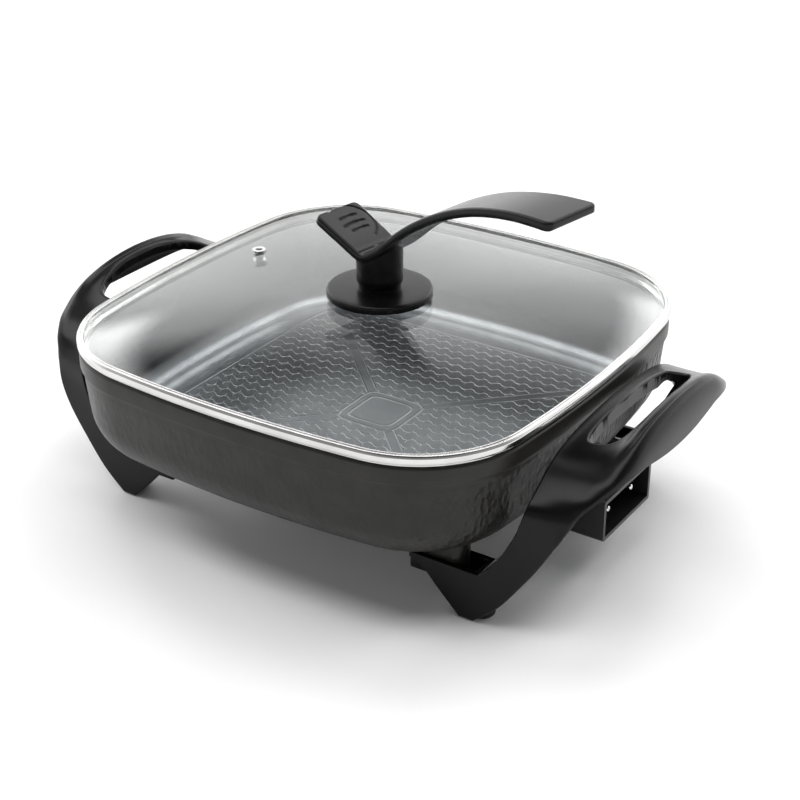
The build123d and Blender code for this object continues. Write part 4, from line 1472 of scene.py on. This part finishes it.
            caps += [index[0][::-way], index[-1][::way]]
        points = np.concatenate([rail.reshape(-1, 3) for rail in rails])
        quads = np.concatenate(quads)
        used, compact = np.unique(np.concatenate([quads.ravel(), *caps]), return_inverse=True)
        faces = compact[: quads.size].reshape(-1, 4)
        ends = np.split(compact[quads.size :], 4)
        return Patch(points[used], faces, caps=tuple(ends)).outward()

    def _tray(self) -> Patch:
        """Channel of the front leg's arm: an open tray that the pan's lug stands in."""
        box = RoundedBox((111.4, -92.0), (45.6, 20.4), 1.2, 6)
        inset = [0.8, 0.2, 0.0, 0.0, 0.3, 2.7, 3.0, 3.0, 3.2, 6.0]
        height = [22.5, 22.7, 23.2, 32.4, 32.8, 32.8, 32.5, 26.2, 26.0, 26.0]
        return skin(box.rings(inset, height))

    def _boss(self) -> Patch:
        """Boss over the front rubber foot."""
        profile = np.array([(0.05, 12.05), (8.4, 12.05), (9.0, 12.6), (9.0, 24.0), (0.05, 24.0)])
        return lathe(profile, 48).moved((FOOT_PLACE[0], -FOOT_PLACE[1], 0.0))

    def build(self) -> None:
        """Make both frames and put them on the skillet."""
        black = BAKELITE.material()
        front = [self._tray(), self._boss()]
        fittings = joined(front + [patch.scaled((1, -1, 1)) for patch in front])
        for side, sign in (("right", 1.0), ("left", -1.0)):
            node, flip = f"{side}_handle_frame", (sign, 1, 1)
            ribbon = self.skin(lip=side == "right")
            add_pieces(
                Body.SKILLET, "phenolic_black", black,
                (f"{side}_handle_and_legs", ribbon.scaled(flip), node, 45),
                (f"{side}_channels", fittings.scaled(flip), node, 45),
            )


# ---------------------------------------------------------------- feet and screws
class Fasteners:
    """Rubber feet and all screws."""

    def foot(self) -> Patch:
        """Rubber foot: rounded tread, a shallow groove round its side and a deep recess."""
        path = rounded_path(
            [
                (4.2, 5.5, 0.3), (4.2, 0.0, 0.6), (8.0, 0.0, 1.8), (8.0, 7.2, 0.3),
                (7.6, 7.6, 0.3), (7.6, 8.4, 0.3), (8.0, 8.8, 0.3), (8.0, 12.0, 0.4),
                (0.1, 12.0, 0.0), (0.1, 5.5, 0.0),
            ],
            5,
        )
        start = int(np.argmin(np.abs(path - [0.1, 5.5]).sum(1)))
        return lathe(np.roll(path, -start, axis=0), 64)

    def screw(self, shank: float, length: float, head: float, rise: float) -> Patch:
        """Pan-head screw that points down from its head at 0, with a cross recess in the head.

        The recess sinks the head's face by half its height in two crossed bars with soft edges.

        Args:
            shank: Radius of the thread.
            length: Length under the head.
            head: Radius of the head.
            rise: Height of the head.

        Returns:
            The screw with its seat at height 0 and its head above it.
        """
        arc = np.linspace(0, np.pi / 2, 9)
        tip = [(0.05, -length), (shank * 0.55, -length), (shank, -length + shank * 0.6)]
        turns = np.arange(-length + shank, -0.6, 0.35)
        thread = shank - 0.12 * (1 + np.cos(turns * 2 * np.pi / 0.7))
        neck = [(shank, -0.3), (shank, 0.0), (head - 0.15, 0.0), (head, 0.15)]
        dome = np.stack([head * (0.55 + 0.45 * np.cos(arc)), rise * (0.35 + 0.65 * np.sin(arc))], 1)
        face = np.stack([head * 0.55 * np.linspace(1, 0.03, 16)[1:], np.full(15, rise)], 1)
        profile = np.concatenate([tip, np.stack([thread, turns], 1), neck, dome, face])
        patch = lathe(profile, 64)
        x, y, z = patch.points.T
        long, thick = head * 0.5, head * 0.13

        def bar(along: np.ndarray, across: np.ndarray) -> np.ndarray:
            """One bar of the cross: 1 inside it, 0 around it."""
            narrow = smoothstep(np.abs(across), thick * 1.35, thick * 0.7)
            return narrow * smoothstep(np.abs(along), long * 1.1, long * 0.85)

        sunk = z - rise * 0.5 * np.maximum(bar(x, y), bar(y, x))
        return replace(patch, points=np.stack([x, y, np.where(z > rise * 0.9, sunk, z)], 1))

    def _four(self, patch: Patch, at: tuple[float, float], height: float) -> Patch:
        """The same part, head down, at the four mirrored places."""
        flipped = patch.scaled((1, 1, -1))
        return joined([flipped.moved((sx * at[0], sy * at[1], height)) for sx, sy in QUARTERS])

    def build(self) -> None:
        """Make the feet and screws and put them on their bodies."""
        rubber, zinc = RUBBER.material(), SCREW.material()
        foot = self.foot()
        for sx, sy in QUARTERS:
            corner = f"{'left' if sx < 0 else 'right'}_{'front' if sy < 0 else 'rear'}"
            moved = foot.moved((sx * FOOT_PLACE[0], sy * FOOT_PLACE[1], 0.0))
            piece = (f"{corner}_rubber", moved, f"{corner}_foot", 40)
            add_pieces(Body.SKILLET, "rubber_black", rubber, piece)
        foot_screws = self._four(self.screw(1.95, 15.5, 3.5, 2.4), FOOT_PLACE, 5.5)
        frame_screws = self._four(self.screw(2.0, 14.5, 4.0, 2.8), LUG_PLACE, 21.5)
        side = self.screw(1.75, 15.4, 3.0, 2.4)
        side = replace(side, points=side.points[:, [2, 0, 1]])
        shroud_screws = joined([side.moved((137.4, sy * 24.5, 44.0)) for sy in (-1, 1)])
        knob_screw = self.screw(2.5, 27.2, 5.0, 3.2).scaled((1, 1, -1)).moved((0, 0, 128.3))
        add_pieces(
            Body.SKILLET, "screw_steel", zinc,
            ("foot_fixings", foot_screws, "foot_screws", 40),
            ("frame_fixings", frame_screws, "frame_screws", 40),
            ("shroud_fixings", shroud_screws, "shroud_screws", 40),
        )
        add_pieces(Body.LID, "screw_steel", zinc, ("knob_fixing", knob_screw, "knob_screw", 40))


# ---------------------------------------------------------------- pieces kept from the CAD model
@dataclass(frozen=True)
class KeptNode:
    """A CAD node that keeps its shape and gets a finish and soft edges."""

    node: str
    finish: Finish
    bevel: float = 0.2

    def build(self, nodes: dict[str, bpy.types.Object]) -> None:
        """Weld, bevel and dress the node.

        Args:
            nodes: CAD objects by name.
        """
        piece = nodes[self.node]
        dress(piece, self.finish.material())
        weld = piece.modifiers.new("weld", "WELD")
        weld.merge_threshold = 1e-6
        if self.bevel:
            soft = piece.modifiers.new("soft_edges", "BEVEL")
            soft.width, soft.segments = self.bevel * MM, 2
            soft.limit_method, soft.angle_limit = "ANGLE", math.radians(40)
            soft.harden_normals = False
        LOG.info("%s: kept from the CAD model", self.node)


KEPT = (
    KeptNode("socket_shroud", SHROUD, 0.35),
    KeptNode("terminal_pins", PIN, 0.0),
    KeptNode("terminal_insulators", CERAMIC, 0.0),
    KeptNode("heating_element", ELEMENT, 0.0),
    KeptNode("frame_washers", SCREW, 0.12),
    KeptNode("steam_vent", STEEL, 0.12),
    KeptNode("knob_insert", BRASS, 0.15),
    KeptNode("knob_gaskets", SILICONE, 0.15),
    KeptNode("knob_washer", SCREW, 0.15),
)


# ---------------------------------------------------------------- studio
@dataclass
class Studio:
    """Pale floor, soft lights and the camera."""

    camera_at: Triple = (0.5293, -0.7835, 0.5556)
    camera_aim: Triple = (0.01486, 0.0, 0.06469)
    lens: float = 75.35
    floor_size: float = 80.0
    floor_white: float = 0.93
    glow: float = 1.5
    glow_from: float = 0.47
    glow_to: float = 0.61
    glow_side: tuple[float, float] = (-0.55, 0.84)
    dim: float = 0.08
    horizon: float = 0.8
    horizon_fade: tuple[float, float] = (0.03, 0.17)
    # each ring of soft boxes: cosine of the lean at its middle, half width, power
    rings: tuple[Triple, ...] = ((0.938, 0.016, 4.6), (0.785, 0.036, 4.8))

    def _floor(self) -> None:
        """Plain pale floor under the feet, floor_size metres wide."""
        square = np.array([(-1, -1, 0), (1, -1, 0), (1, 1, 0), (-1, 1, 0)], float)
        patch = Patch(square * (self.floor_size / MM / 2), np.array([[0, 1, 2, 3]]))
        floor = smooth_object("studio_floor", patch, 40)
        material, nodes = new_material("studio_pale")
        white = (self.floor_white,) * 3
        inputs = {"Base Color": (*white, 1.0), "Roughness": 0.9, "Specular IOR Level": 0.1}
        nodes.finish("ShaderNodeBsdfPrincipled", inputs)
        dress(floor, material)

    def _world(self) -> None:
        """White surround in the form of soft boxes, as a function of direction (x, y, z).

        The horizon glows and fades upwards, and a wider glow stands behind. Two rings of
        soft boxes hang overhead. With h the sum of the direction and the opposite of the
        studio camera's aim, a ring lies where h_z / |h| is near its cosine. A surface that
        leans by that much shows the ring to that camera, so the rounds between the flats
        and the walls carry even lines of light.
        """
        world = bpy.data.worlds.new("studio_surround")
        world.use_nodes = True
        nodes = Nodes(world.node_tree)
        x, y, z = direction = nodes.parts("Generated")
        behind = (y * self.glow_side[1] + x * self.glow_side[0]).ramp(-0.3, 0.5)
        glow = z.ramp(self.glow_from, self.glow_to, 1.0, 0.0) * (behind + 0.25)
        strength = glow * self.glow + z.ramp(*self.horizon_fade, self.horizon, 0.0) + self.dim
        aim = (Vector(self.camera_at) - Vector(self.camera_aim)).normalized()
        lean_x, lean_y, lean_z = (part + value for part, value in zip(direction, aim))
        length = (lean_x**2.0 + lean_y**2.0 + lean_z**2.0) ** 0.5
        lean = lean_z / length.most(0.05)
        for middle, half, power in self.rings:
            ring = abs(lean - middle).ramp(half, half * 1.9, 1.0, 0.0) * z.ramp(0.30, 0.42)
            strength = strength + ring * power
        back = nodes.add("ShaderNodeBackground", {}, {"Strength": strength})
        nodes.add("ShaderNodeOutputWorld", {}, {0: back.outputs[0]})
        bpy.context.scene.world = world

    def build(self) -> None:
        """Set up the floor, the lights and the camera."""
        self._floor()
        self._world()
        data = bpy.data.cameras.new("studio_camera")
        data.sensor_width, data.lens = 36.0, self.lens
        camera = bpy.data.objects.new("studio_camera", data)
        camera.location = self.camera_at
        look = Vector(self.camera_aim) - Vector(self.camera_at)
        camera.rotation_euler = look.to_track_quat("-Z", "Y").to_euler()
        bpy.context.scene.collection.objects.link(camera)
        bpy.context.scene.camera = camera
        bpy.context.scene.view_settings.view_transform = "Standard"


def main() -> None:
    """Build every sub-assembly in order."""
    logging.basicConfig(level=logging.INFO, format="%(name)s %(message)s")
    Studio().build()
    outline = Outline()
    Pan(outline).build()
    Lid(outline).build()
    Knob().build()
    SideFrame().build()
    Fasteners().build()
    for kept in KEPT:
        kept.build(frame["nodes"])


if __name__ == "__main__":
    main()
